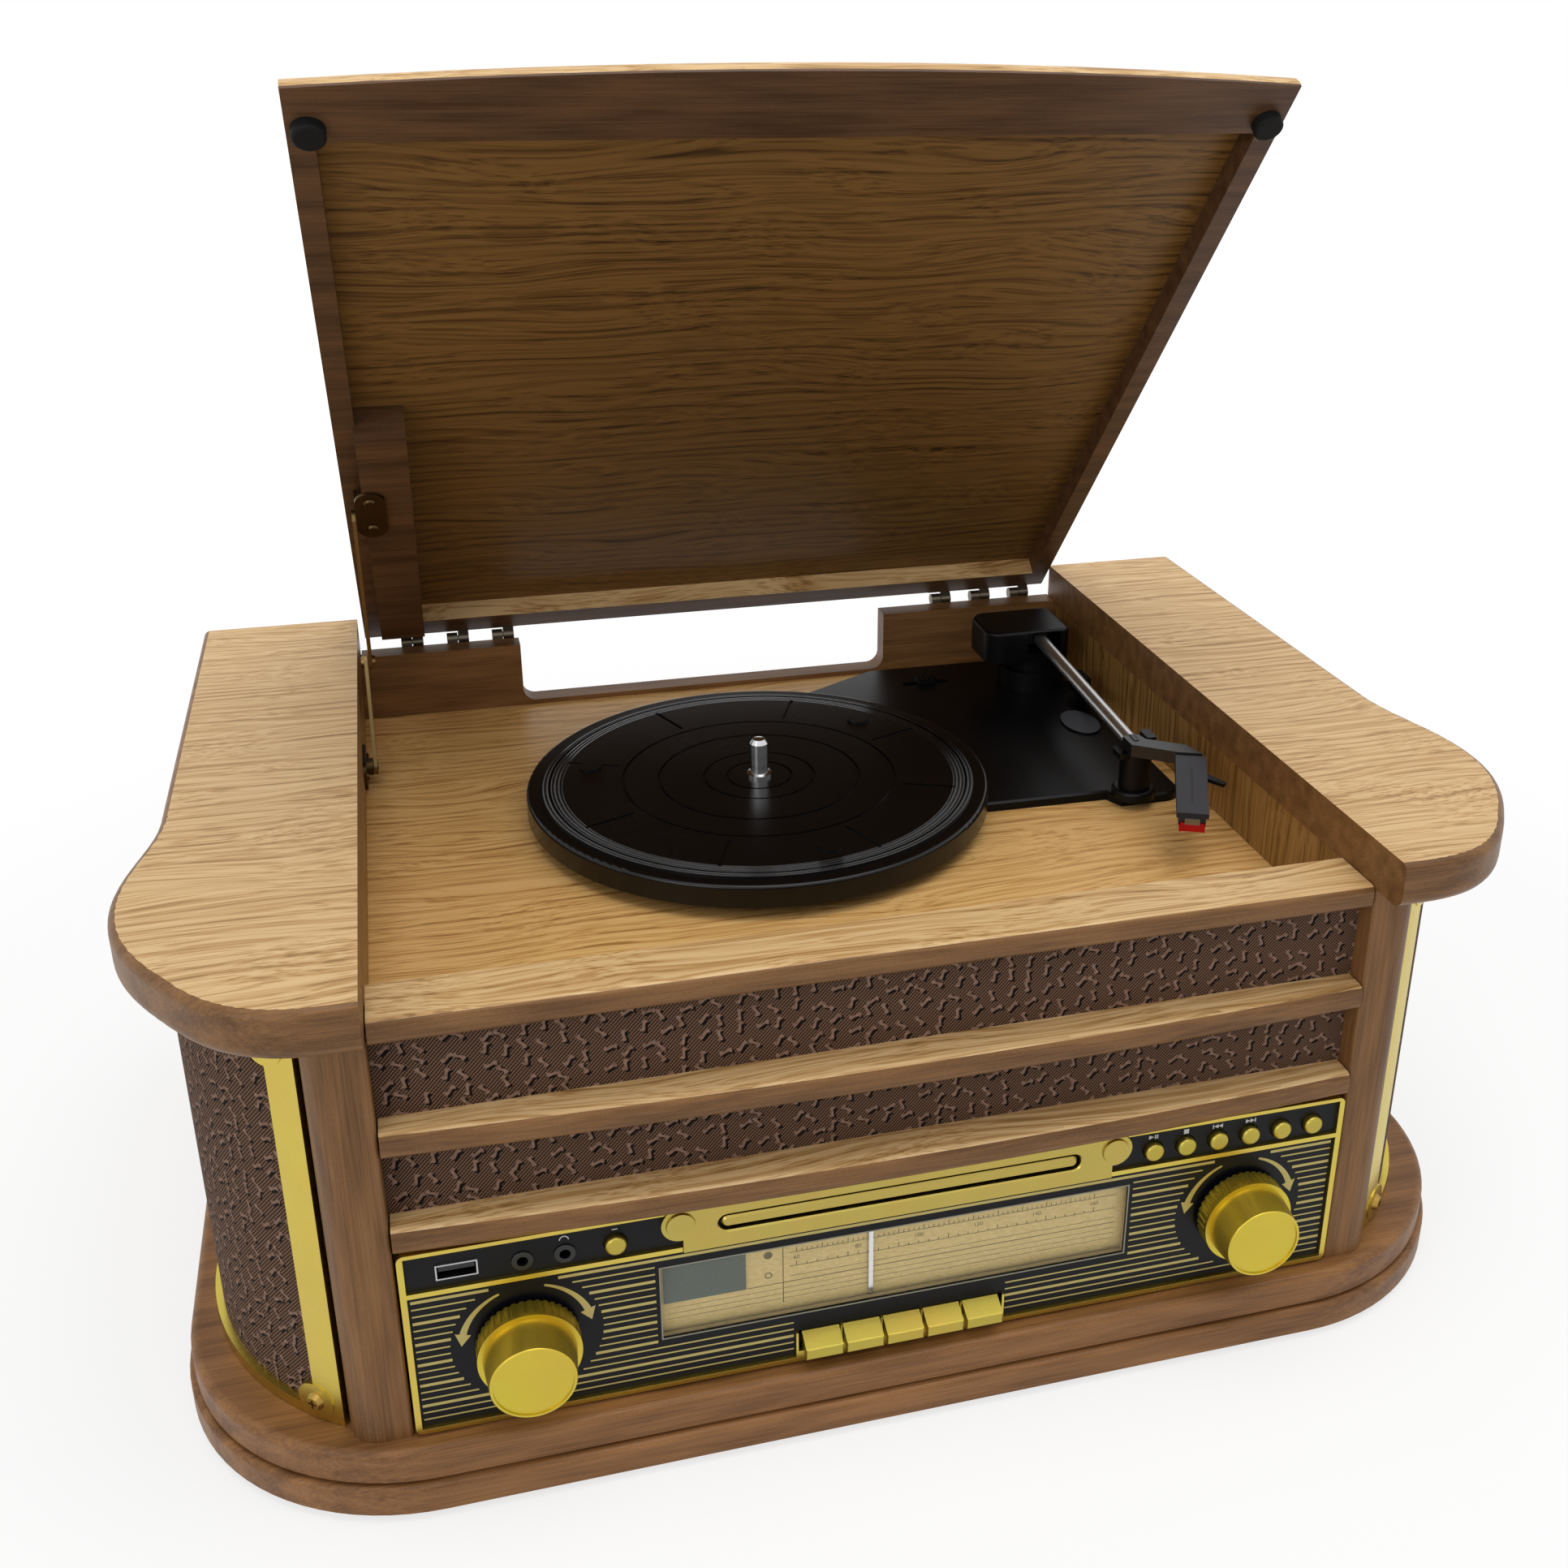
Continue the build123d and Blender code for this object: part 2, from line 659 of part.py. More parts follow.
# Black panel plate with every opening of the controls
with BuildPart() as panel_plate:
    with BuildSketch(Plane.XZ.offset(-plate_back)):
        with Locations((0, (panel_bottom + panel_top) / 2)):
            Rectangle(2 * (panel_half_w - frame_skirt), panel_top - panel_bottom - 2 * frame_skirt)
        with Locations((0, tray_z)):
            SlotOverall(slot_w + 1, slot_h + 1, mode=Mode.SUBTRACT)
        with Locations((0, window_z)):
            Rectangle(window_w, window_h, mode=Mode.SUBTRACT)
        with Locations((0, key_z)):
            Rectangle(key_slot_w, key_slot_h, mode=Mode.SUBTRACT)
        with Locations((button_first_x + 2.5 * button_pitch, button_z)):
            with GridLocations(button_pitch, 0, 6, 1):
                Circle(button_r + button_gap, mode=Mode.SUBTRACT)
        with Locations((record_x, button_z)):
            Circle(button_r + button_gap, mode=Mode.SUBTRACT)
        with Locations((usb_x, usb_z)):
            Rectangle(usb_w, usb_h, mode=Mode.SUBTRACT)
        with Locations((aux_x, jack_z), (phones_x, jack_z)):
            Circle(jack_r, mode=Mode.SUBTRACT)
        with Locations((-knob_x, knob_z), (knob_x, knob_z)):
            Circle(shaft_r + 1, mode=Mode.SUBTRACT)
    extrude(amount=plate_t)
panel_plate.part.label = "panel_plate"
export_step(panel_plate.part, "parts/panel_plate.step")

# Gold surround of the panel with its dividers and key separators
frame_mid_z = (panel_bottom + panel_top) / 2
frame_h = panel_top - panel_bottom
with BuildPart() as panel_frame:
    with BuildSketch(Plane.XZ.offset(-plate_face)):
        with Locations((0, frame_mid_z)):
            RectangleRounded(2 * panel_half_w, frame_h, 2.5)
            with Locations((0, (frame_border - frame_top_border) / 2)):
                Rectangle(
                    2 * (panel_half_w - frame_border),
                    frame_h - frame_border - frame_top_border,
                    mode=Mode.SUBTRACT,
                )
        with Locations((0, divider_z)):
            Rectangle(2 * panel_half_w - 2, divider_h)
        with Locations((0, key_z - 1.4)):
            Rectangle(key_slot_w + 1.6, key_slot_h + 2.8)
        with Locations((0, key_z)):
            Rectangle(key_slot_w, key_slot_h, mode=Mode.SUBTRACT)
        with Locations((0, (cd_plate_bottom + panel_top + 2) / 2)):
            Rectangle(
                2 * (cd_plate_half_w + lobe_gap),
                panel_top + 2 - cd_plate_bottom + 2 * lobe_gap,
                mode=Mode.SUBTRACT,
            )
        with Locations((-lobe_x, lobe_z), (lobe_x, lobe_z)):
            Circle(lobe_r + lobe_gap, mode=Mode.SUBTRACT)
    extrude(amount=plate_face - panel_face)
    with BuildSketch(Plane.XZ.offset(-plate_back)):
        with Locations((0, frame_mid_z)):
            RectangleRounded(2 * panel_half_w, frame_h, 2.5)
            Rectangle(2 * (panel_half_w - frame_skirt), frame_h - 2 * frame_skirt, mode=Mode.SUBTRACT)
    extrude(amount=plate_t)
    with BuildSketch(Plane.XZ.offset(-plate_back)):
        with Locations((0, key_z)):
            with GridLocations(key_pitch, 0, 4, 1):
                Rectangle(separator_w, key_slot_h)
    extrude(amount=plate_back - panel_face)
panel_frame.part.label = "panel_frame"
export_step(panel_frame.part, "parts/panel_frame.step")

# Gold plate around the disc drawer, with a round boss at each end
with BuildPart() as cd_plate:
    with BuildSketch(Plane.XZ.offset(-plate_face)):
        with Locations((0, (cd_plate_bottom + panel_top) / 2)):
            Rectangle(2 * cd_plate_half_w, panel_top - cd_plate_bottom)
        with Locations((-lobe_x, lobe_z), (lobe_x, lobe_z)):
            Circle(lobe_r)
        with Locations((0, panel_top + 5)):
            Rectangle(2 * cd_plate_half_w + 30, 10, mode=Mode.SUBTRACT)
        with Locations((0, tray_z)):
            SlotOverall(slot_w, slot_h, mode=Mode.SUBTRACT)
    extrude(amount=plate_face - cd_plate_face)
    chamfer(cd_plate.faces().sort_by(Axis.Y)[0].inner_wires()[0].edges(), 0.5)
    with BuildSketch(Plane.XZ.offset(-cd_plate_face)):
        with Locations((-lobe_x, lobe_z), (lobe_x, lobe_z)):
            Circle(lobe_disc_r)
    extrude(amount=lobe_disc_h, taper=20)
cd_plate.part.label = "cd_plate"
export_step(cd_plate.part, "parts/cd_plate.step")

# Disc drive behind the drawer, with the tunnel the tray runs in
tunnel_back = -20.0
with BuildPart() as cd_drive:
    with BuildSketch(Plane.XZ.offset(-plate_back)):
        with Locations((0, tray_z - 1)):
            Rectangle(140, 12.6)
    extrude(amount=-147)
    with BuildSketch(Plane.XZ.offset(-plate_back)):
        with Locations((0, tray_z)):
            Rectangle(tray_w + 0.8, tray_h + 1.0)
    extrude(amount=plate_back - tunnel_back, mode=Mode.SUBTRACT)
    with BuildSketch(Plane.XY.offset(tray_z - 7.3)):
        with Locations((0, -65)):
            Rectangle(90, 110)
    extrude(amount=-16)
    with BuildSketch(Plane.XY.offset(tray_z + 5.3)):
        with Locations((0, -75)):
            Circle(20)
            Circle(6, mode=Mode.SUBTRACT)
    extrude(amount=1.2)
cd_drive.part.label = "cd_drive"
export_step(cd_drive.part, "parts/cd_drive.step")

# Disc drawer: rounded front bar and a tray with a recess for the disc
tray_front = -151.7
tray_back = -22.0
with BuildPart() as cd_tray:
    with BuildSketch(Plane.XZ.offset(-tray_front)):
        with Locations((0, tray_z)):
            SlotOverall(tray_w, tray_h)
    extrude(amount=-3)
    chamfer(cd_tray.faces().sort_by(Axis.Y)[0].edges(), 0.6)
    with BuildSketch(Plane.XZ.offset(-tray_front - 3)):
        with Locations((0, tray_z)):
            Rectangle(tray_w - 2.4, tray_h - 0.4)
    extrude(amount=-(tray_back - tray_front - 3))
    with BuildSketch(Plane.XY.offset(tray_z + tray_h)):
        with Locations((0, -84)):
            Circle(60)
    extrude(amount=-tray_h - 1.2, mode=Mode.SUBTRACT)
    with BuildSketch(Plane.XY.offset(tray_z + tray_h)):
        with Locations((0, -84)):
            Circle(41)
    extrude(amount=-tray_h - 1.8, mode=Mode.SUBTRACT)
    with BuildSketch(Plane.XY.offset(tray_z + tray_h)):
        with Locations((0, -66)):
            SlotOverall(74, 34, rotation=90)
    extrude(amount=-12, mode=Mode.SUBTRACT)
cd_tray.part.label = "cd_tray"
export_step(cd_tray.part, "parts/cd_tray.step")

# Dial board with its small display and the rod the needle runs on
dial_front = -145.6
dial_t = 1.5
dial_half_w = 83.4
dial_bottom = 46.5
dial_upper = 80.0
lug_t = 2.6
rod_y = -141.4
rod_z = 43.6
rod_r = 1.2
display_left = -82.0
display_right = -53.3
display_bottom = 59.4
display_top = 77.3
with BuildPart() as dial_board:
    with BuildSketch(Plane.XZ.offset(-dial_front - dial_t)):
        with Locations((0, (dial_bottom + dial_upper) / 2)):
            Rectangle(2 * dial_half_w, dial_upper - dial_bottom)
    extrude(amount=dial_t)
    with BuildSketch(Plane.XZ.offset(-dial_front)):
        with Locations(((display_left + display_right) / 2, (display_bottom + display_top) / 2)):
            Rectangle(display_right - display_left, display_top - display_bottom)
    extrude(amount=0.8)
    with BuildSketch(Plane.YZ.offset(dial_half_w)):
        with Locations((-143.2, 61)):
            Rectangle(8.2, 40)
    extrude(amount=lug_t)
    with BuildSketch(Plane.YZ.offset(-dial_half_w)):
        with Locations((-143.2, 61)):
            Rectangle(8.2, 40)
    extrude(amount=-lug_t)
    with BuildSketch(Plane.YZ.offset(-dial_half_w)):
        with Locations((rod_y, rod_z)):
            Circle(rod_r)
    extrude(amount=2 * dial_half_w)
dial_board.part.label = "dial_board"
export_step(dial_board.part, "parts/dial_board.step")

# Clear pane of the dial
with BuildPart() as dial_window:
    with BuildSketch(Plane.XZ.offset(-plate_face - 0.1)):
        with Locations((0, window_z)):
            Rectangle(window_w, window_h)
    extrude(amount=-pane_t)
dial_window.part.label = "dial_window"
export_step(dial_window.part, "parts/dial_window.step")

# Dial needle on its sliding carriage
needle_x = -10.2
needle_w = 1.6
needle_t = 0.8
needle_back = -146.2
needle_top = 79.0
carriage_w = 10.0
with BuildPart() as needle:
    with BuildSketch(Plane.XZ.offset(-needle_back)):
        with Locations((needle_x, (rod_z - 0.6 + needle_top) / 2)):
            Rectangle(needle_w, needle_top - rod_z + 0.6)
    extrude(amount=needle_t)
    with BuildSketch(Plane.YZ.offset(needle_x - carriage_w / 2)) as carriage_side:
        with BuildLine():
            Polyline(
                (needle_back, rod_z - 0.6),
                (needle_back, rod_z + 2.2),
                (rod_y + 2.2, rod_z + 2.2),
                (rod_y + 2.2, rod_z - 2.0),
                (rod_y - 2.0, rod_z - 2.0),
                (rod_y - 2.0, rod_z - 0.6),
                close=True,
            )
        make_face()
        with Locations((rod_y, rod_z)):
            Circle(rod_r + run_gap, mode=Mode.SUBTRACT)
    extrude(amount=carriage_w)
needle.part.label = "needle"
export_step(needle.part, "parts/needle.step")

# Socket group of the panel: one flat socket with its tongue and two round jacks
with BuildPart() as front_sockets:
    with BuildSketch(Plane.XZ.offset(138)):
        with Locations((usb_x, usb_z)):
            Rectangle(usb_w, usb_h)
    extrude(amount=13)
    with BuildSketch(Plane.XZ.offset(140)):
        with Locations((usb_x, usb_z)):
            Rectangle(usb_w - 1.0, usb_h - 1.0)
    extrude(amount=12, mode=Mode.SUBTRACT)
    with BuildSketch(Plane.XZ.offset(139)):
        with Locations((usb_x, usb_z + 0.6)):
            Rectangle(usb_w - 2.0, 1.8)
    extrude(amount=11)
    with BuildSketch(Plane.XZ.offset(138)):
        with Locations((aux_x, jack_z), (phones_x, jack_z)):
            Circle(jack_r)
    extrude(amount=13)
    fillet(front_sockets.faces().sort_by(Axis.Y)[0:3].filter_by(lambda f: f.center().X > usb_x + 10).edges(), 0.4)
    with BuildSketch(Plane.XZ.offset(140)):
        with Locations((aux_x, jack_z), (phones_x, jack_z)):
            Circle(jack_bore_r)
    extrude(amount=12, mode=Mode.SUBTRACT)
front_sockets.part.label = "front_sockets"
export_step(front_sockets.part, "parts/front_sockets.step")

# Circuit board with the two potentiometers and the switches behind the keys
board_front = -137.0
pot_r = 8.5
with BuildPart() as main_board:
    with BuildSketch(Plane.XZ.offset(-board_front - 1.6)):
        with Locations((0, panel_bottom + 30.4)):
            Rectangle(2 * (panel_half_w - 4.4), 50)
    extrude(amount=1.6)
    with BuildSketch(Plane.XZ.offset(-board_front)):
        with Locations((-knob_x, knob_z), (knob_x, knob_z)):
            Circle(pot_r)
    extrude(amount=board_front - plate_back)
    with BuildSketch(Plane.XZ.offset(-board_front)):
        with Locations((0, key_z)):
            with GridLocations(key_pitch, 0, 5, 1):
                Rectangle(6, 6)
    extrude(amount=3.4)
    with BuildSketch(Plane.XZ.offset(-board_front - 1.6)):
        with Locations((-60, 62), (-20, 66), (35, 60)):
            Rectangle(16, 12)
    extrude(amount=-2.2)
    with BuildSketch(Plane.XZ.offset(-plate_back)):
        with Locations((-knob_x, knob_z), (knob_x, knob_z)):
            Circle(shaft_r + run_gap)
    extrude(amount=-9, mode=Mode.SUBTRACT)
main_board.part.label = "main_board"
export_step(main_board.part, "parts/main_board.step")

# Fluted control knobs on their shafts
with BuildPart() as volume_knob:
    with BuildSketch(Plane.XZ.offset(-knob_back)):
        with Locations((-knob_x, knob_z)):
            Circle(knob_skirt_r)
    extrude(amount=knob_skirt_len)
    with BuildSketch(Plane.XZ.offset(-knob_back)):
        with Locations((-knob_x, knob_z)):
            with PolarLocations(knob_skirt_r + 0.25, knob_flutes):
                Circle(0.75)
    extrude(amount=knob_skirt_len - 1.2, mode=Mode.SUBTRACT)
    with BuildSketch(Plane.XZ.offset(-knob_back + knob_skirt_len)):
        with Locations((-knob_x, knob_z)):
            Circle(knob_body_r)
    with BuildSketch(Plane.XZ.offset(-knob_front)):
        with Locations((-knob_x, knob_z)):
            Circle(knob_front_r)
    loft()
    fillet(volume_knob.edges().filter_by(GeomType.CIRCLE).group_by(Axis.Y)[0], 0.6)
    with BuildSketch(Plane.XZ.offset(-knob_front)):
        with Locations((-knob_x, knob_z)):
            Circle(knob_dish_r)
    extrude(amount=-knob_dish, mode=Mode.SUBTRACT)
    with BuildSketch(Plane.XZ.offset(-knob_back)):
        with Locations((-knob_x, knob_z)):
            Circle(shaft_r)
    extrude(amount=-12)
volume_knob.part.label = "volume_knob"
export_step(volume_knob.part, "parts/volume_knob.step")

with BuildPart() as tuning_knob:
    with Locations((2 * knob_x, 0, 0)):
        add(volume_knob.part)
tuning_knob.part.label = "tuning_knob"
export_step(tuning_knob.part, "parts/tuning_knob.step")

# Five flat keys, each with a hook behind the plate and a stem to its switch
with BuildPart() as key_3:
    with BuildSketch(Plane.YZ.offset(-key_w / 2)):
        with BuildLine():
            Polyline(
                (key_back, key_z - key_h / 2),
                (key_face, key_z - key_h / 2),
                (key_face, key_z - key_h / 2 + key_front_h),
                (plate_face, key_z + key_h / 2),
                (key_back, key_z + key_h / 2),
                close=True,
            )
        make_face()
    extrude(amount=key_w)
    fillet(key_3.faces().sort_by(Axis.Y)[0].edges(), 0.7)
    with BuildSketch(Plane.XZ.offset(-plate_back - 1.9)):
        with Locations((0, key_z - key_h / 2 - 1.1)):
            Rectangle(key_w - 1, 2.2)
    extrude(amount=1.6)
key_3.part.label = "key_3"
export_step(key_3.part, "parts/key_3.step")

with BuildPart() as key_1:
    with Locations((-2 * key_pitch, 0, 0)):
        add(key_3.part)
key_1.part.label = "key_1"
export_step(key_1.part, "parts/key_1.step")

with BuildPart() as key_2:
    with Locations((-key_pitch, 0, 0)):
        add(key_3.part)
key_2.part.label = "key_2"
export_step(key_2.part, "parts/key_2.step")

with BuildPart() as key_4:
    with Locations((key_pitch, 0, 0)):
        add(key_3.part)
key_4.part.label = "key_4"
export_step(key_4.part, "parts/key_4.step")

with BuildPart() as key_5:
    with Locations((2 * key_pitch, 0, 0)):
        add(key_3.part)
key_5.part.label = "key_5"
export_step(key_5.part, "parts/key_5.step")

# Small round push buttons with a flange behind the plate
with BuildPart() as cd_button_1:
    with BuildSketch(Plane.XZ.offset(-plate_back - 1.6)):
        with Locations((button_first_x, button_z)):
            Circle(button_r)
    extrude(amount=plate_back + 1.6 - button_face)
    fillet(cd_button_1.edges().filter_by(GeomType.CIRCLE).group_by(Axis.Y)[0], 1.4)
    with BuildSketch(Plane.XZ.offset(-plate_back - 0.3)):
        with Locations((button_first_x, button_z)):
            Circle(button_flange_r)
    extrude(amount=-button_flange_t)
cd_button_1.part.label = "cd_button_1"
export_step(cd_button_1.part, "parts/cd_button_1.step")

with BuildPart() as cd_button_2:
    with Locations((button_pitch, 0, 0)):
        add(cd_button_1.part)
cd_button_2.part.label = "cd_button_2"
export_step(cd_button_2.part, "parts/cd_button_2.step")

with BuildPart() as cd_button_3:
    with Locations((2 * button_pitch, 0, 0)):
        add(cd_button_1.part)
cd_button_3.part.label = "cd_button_3"
export_step(cd_button_3.part, "parts/cd_button_3.step")

with BuildPart() as cd_button_4:
    with Locations((3 * button_pitch, 0, 0)):
        add(cd_button_1.part)
cd_button_4.part.label = "cd_button_4"
export_step(cd_button_4.part, "parts/cd_button_4.step")

with BuildPart() as cd_button_5:
    with Locations((4 * button_pitch, 0, 0)):
        add(cd_button_1.part)
cd_button_5.part.label = "cd_button_5"
export_step(cd_button_5.part, "parts/cd_button_5.step")

with BuildPart() as cd_button_6:
    with Locations((5 * button_pitch, 0, 0)):
        add(cd_button_1.part)
cd_button_6.part.label = "cd_button_6"
export_step(cd_button_6.part, "parts/cd_button_6.step")

with BuildPart() as record_button:
    with Locations((record_x - button_first_x, 0, 0)):
        add(cd_button_1.part)
record_button.part.label = "record_button"
export_step(record_button.part, "parts/record_button.step")

# Loudspeakers on flat baffles behind the curved cloth
speaker_deg = -15.5
speaker_front = 80.0
baffle_t = 4.0
baffle_w = 84.0
cone_r = 34.0
speaker_rad = math.radians(speaker_deg)
speaker_dir = (math.cos(speaker_rad), math.sin(speaker_rad), 0)
speaker_across = (-math.sin(speaker_rad), math.cos(speaker_rad), 0)
speaker_z = (base_top + cap_bottom) / 2
speaker_mid = (
    grille_cx + speaker_front * speaker_dir[0],
    grille_cy + speaker_front * speaker_dir[1],
    speaker_z,
)
baffle_plane = Plane(origin=speaker_mid, x_dir=speaker_across, z_dir=speaker_dir)
speaker_section = Plane(origin=speaker_mid, x_dir=speaker_dir, z_dir=(-speaker_across[0], -speaker_across[1], 0))
with BuildPart() as speakers:
    with BuildSketch(baffle_plane):
        Rectangle(baffle_w, body_h)
        Circle(cone_r + 1, mode=Mode.SUBTRACT)
    extrude(amount=-baffle_t)
    with BuildSketch(speaker_section):
        with BuildLine():
            Polyline(
                (0, cone_r + 4),
                (1.6, cone_r + 4),
                (1.6, cone_r + 0.5),
                (0, cone_r - 1),
                (-14, 10),
                (-10.5, 6),
                (-9.5, 0),
                (-45, 0),
                (-45, 22),
                (-30, 22),
                (-27, 25),
                (-baffle_t, cone_r + 1),
                (0, cone_r + 1),
                close=True,
            )
        make_face()
    revolve(axis=Axis(speaker_mid, speaker_dir))
    mirror(about=Plane.YZ)
speakers.part.label = "speakers"
export_step(speakers.part, "parts/speakers.step")

# Black deck plate of the record player with its bearing
with BuildPart() as deck_plate:
    with BuildSketch(Plane.XY.offset(floor_top)) as deck_outline:
        with BuildLine():
            Polyline(
                (55, -9),
                (rest_x - 9.5, rest_y + 5.5),
                (rest_x - 5.5, rest_y - 2),
                (deck_right, deck_front),
                (deck_right, deck_back),
                (68, 143.5),
                (30, 122),
                (4, 94),
                close=True,
            )
        make_face()
        fillet(deck_outline.vertices().sort_by_distance((deck_right, deck_front, floor_top))[0], 7)
        fillet(deck_outline.vertices().sort_by_distance((deck_right, deck_back, floor_top))[0], 7)
        fillet(deck_outline.vertices().sort_by_distance((68, 143.5, floor_top))[0], 8)
        with Locations((spindle_x, spindle_y)):
            Circle(80)
    extrude(amount=deck_t)
    chamfer(deck_plate.faces().sort_by(Axis.Z)[-1].edges(), 0.8)
    with BuildSketch(Plane.XY.offset(deck_top)):
        with Locations((143, 58)):
            Ellipse(8, 13)
    extrude(amount=1.0)
    with BuildSketch(Plane.XY.offset(floor_top)):
        with Locations((spindle_x, spindle_y)):
            Circle(8)
    extrude(amount=-18)
    with BuildSketch(Plane.XY.offset(deck_top)):
        with Locations((spindle_x, spindle_y)):
            Circle(spindle_r + run_gap)
    extrude(amount=-21, mode=Mode.SUBTRACT)
    with BuildSketch(Plane.XY.offset(deck_top)):
        with Locations((90, 122)):
            SlotOverall(22, 4)
    extrude(amount=-deck_t, mode=Mode.SUBTRACT)
deck_plate.part.label = "deck_plate"
export_step(deck_plate.part, "parts/deck_plate.step")

# Platter motor hanging under the deck plate
with BuildPart() as motor:
    with BuildSketch(Plane.XY.offset(floor_top)):
        with Locations((motor_x, motor_y)):
            Circle(motor_r)
    extrude(amount=-25)
    fillet(motor.faces().sort_by(Axis.Z)[0].edges(), 2)
    with BuildSketch(Plane.XY.offset(floor_top - 25)):
        with Locations((motor_x, motor_y)):
            Circle(4)
    extrude(amount=-2)
motor.part.label = "motor"
export_step(motor.part, "parts/motor.step")

# Spindle with its shoulder and collar
with BuildPart() as spindle:
    with BuildSketch(Plane.XZ.offset(-spindle_y)):
        with BuildLine():
            Polyline(
                (spindle_x, 142),
                (spindle_x + spindle_r, 142),
                (spindle_x + spindle_r, deck_top + 0.4),
                (spindle_x + 8, deck_top + 0.4),
                (spindle_x + 8, platter_bottom + 1.5),
                (spindle_x + spindle_r, platter_bottom + 1.5),
                (spindle_x + spindle_r, platter_top),
                (spindle_x + 5, platter_top),
                (spindle_x + 5, platter_top + 1.2),
                (spindle_x + spindle_r, platter_top + 1.6),
                (spindle_x + spindle_r, spindle_top - 2.5),
                (spindle_x + 2.4, spindle_top - 0.7),
                (spindle_x, spindle_top),
                close=True,
            )
        make_face()
    revolve(axis=Axis((spindle_x, spindle_y, 0), (0, 0, 1)))
spindle.part.label = "spindle"
export_step(spindle.part, "parts/spindle.step")

# Platter with its rings, marks and the three bosses for small records
with BuildPart() as platter:
    with BuildSketch(Plane.XY.offset(platter_bottom)):
        with Locations((spindle_x, spindle_y)):
            Circle(platter_r)
    extrude(amount=platter_top - platter_bottom - 0.6)
    fillet(platter.faces().sort_by(Axis.Z)[-1].edges(), 1.6)
    with BuildSketch(Plane.XY.offset(platter_bottom)):
        with Locations((spindle_x, spindle_y)):
            Circle(platter_r - 4)
            Circle(14, mode=Mode.SUBTRACT)
    extrude(amount=5, mode=Mode.SUBTRACT)
    with BuildSketch(Plane.XY.offset(platter_bottom)):
        with Locations((spindle_x, spindle_y)):
            Circle(14)
    extrude(amount=1.5, mode=Mode.SUBTRACT)
    with BuildSketch(Plane.XY.offset(platter_top - 0.6)):
        with Locations((spindle_x, spindle_y)):
            Circle(86)
            Circle(83.4, mode=Mode.SUBTRACT)
            Circle(82.6)
            Circle(54.8, mode=Mode.SUBTRACT)
            Circle(53.8)
            Circle(40.5, mode=Mode.SUBTRACT)
            Circle(39.5)
            Circle(22.5, mode=Mode.SUBTRACT)
            Circle(21.5)
            Circle(13.4, mode=Mode.SUBTRACT)
            Circle(12.4)
            with PolarLocations(68.5, 8, 22.5):
                Rectangle(21, 1.4, mode=Mode.SUBTRACT)
    extrude(amount=0.6)
    with BuildSketch(Plane.XY.offset(platter_top)):
        with Locations((spindle_x, spindle_y)):
            with PolarLocations(69, 3, 40):
                Circle(4.5)
    extrude(amount=0.7)
    with BuildSketch(Plane.XY.offset(platter_top)):
        with Locations((spindle_x, spindle_y)):
            Circle(spindle_r)
    extrude(amount=-10, mode=Mode.SUBTRACT)
platter.part.label = "platter"
export_step(platter.part, "parts/platter.step")

# Fixed base of the tone arm, its rest post and the bracket of the cueing lever
cue_x = pivot_x + 11.7
cue_y = pivot_y - 25.0
cue_z = deck_top + 7.6
with BuildPart() as tonearm_base:
    with BuildSketch(Plane.XY.offset(deck_top)):
        with Locations((pivot_x, pivot_y)):
            Circle(16.5)
    extrude(amount=9)
    with BuildSketch(Plane.XY.offset(deck_top + 9)):
        with Locations((pivot_x, pivot_y)):
            Circle(12)
    extrude(amount=yoke_bottom - 0.4 - deck_top - 9)
    with BuildSketch(Plane.XY.offset(yoke_bottom - 0.4)):
        with Locations((pivot_x, pivot_y)):
            Circle(stub_r + run_gap)
    extrude(amount=-13, mode=Mode.SUBTRACT)
    with BuildSketch(Plane.XY.offset(deck_top)):
        with Locations((rest_x, rest_y)):
            Circle(rest_collar_r)
    extrude(amount=4)
    fillet(tonearm_base.edges().filter_by(GeomType.CIRCLE).filter_by_position(Axis.Z, deck_top + 3.7, deck_top + 4.3), 1.5)
    with BuildSketch(Plane.XY.offset(deck_top + 4)):
        with Locations((rest_x, rest_y)):
            Circle(rest_r)
    extrude(amount=arm_z - tube_r - 0.5 - deck_top - 4)
    with BuildSketch(Plane.XY.offset(arm_z - tube_r - 3)):
        with Locations((rest_x - 0.8, rest_y)):
            RectangleRounded(16.5, 9, 2)
    extrude(amount=2.5)
    with BuildSketch(Plane.XY.offset(arm_z - tube_r - 0.5)):
        with Locations((rest_x + 4.6, rest_y)):
            RectangleRounded(4.2, 9, 1.2)
    extrude(amount=tube_r + 3.2)
    with BuildSketch(Plane.XY.offset(deck_top)):
        with Locations((cue_x + 4.2, cue_y)):
            Rectangle(2.6, 12)
    extrude(amount=11)
    with BuildSketch(Plane.YZ.offset(cue_x + 3)):
        with Locations((cue_y, cue_z)):
            Circle(1.5)
    extrude(amount=-5.5)
tonearm_base.part.label = "tonearm_base"
export_step(tonearm_base.part, "parts/tonearm_base.step")

# Cueing lever turning on its cross pin
with BuildPart() as cue_lever:
    with BuildSketch(Plane.YZ.offset(cue_x - 2.2)):
        with Locations((cue_y, cue_z)):
            Circle(4)
        with Locations((cue_y - 11, cue_z)):
            Rectangle(22, 3.2)
        with Locations((cue_y, cue_z)):
            Circle(1.5 + run_gap, mode=Mode.SUBTRACT)
    extrude(amount=4.4)
    with BuildSketch(Plane.YZ.offset(cue_x - 3)):
        with Locations((cue_y - 23, cue_z)):
            SlotOverall(9, 4.4)
    extrude(amount=6)
cue_lever.part.label = "cue_lever"
export_step(cue_lever.part, "parts/cue_lever.step")

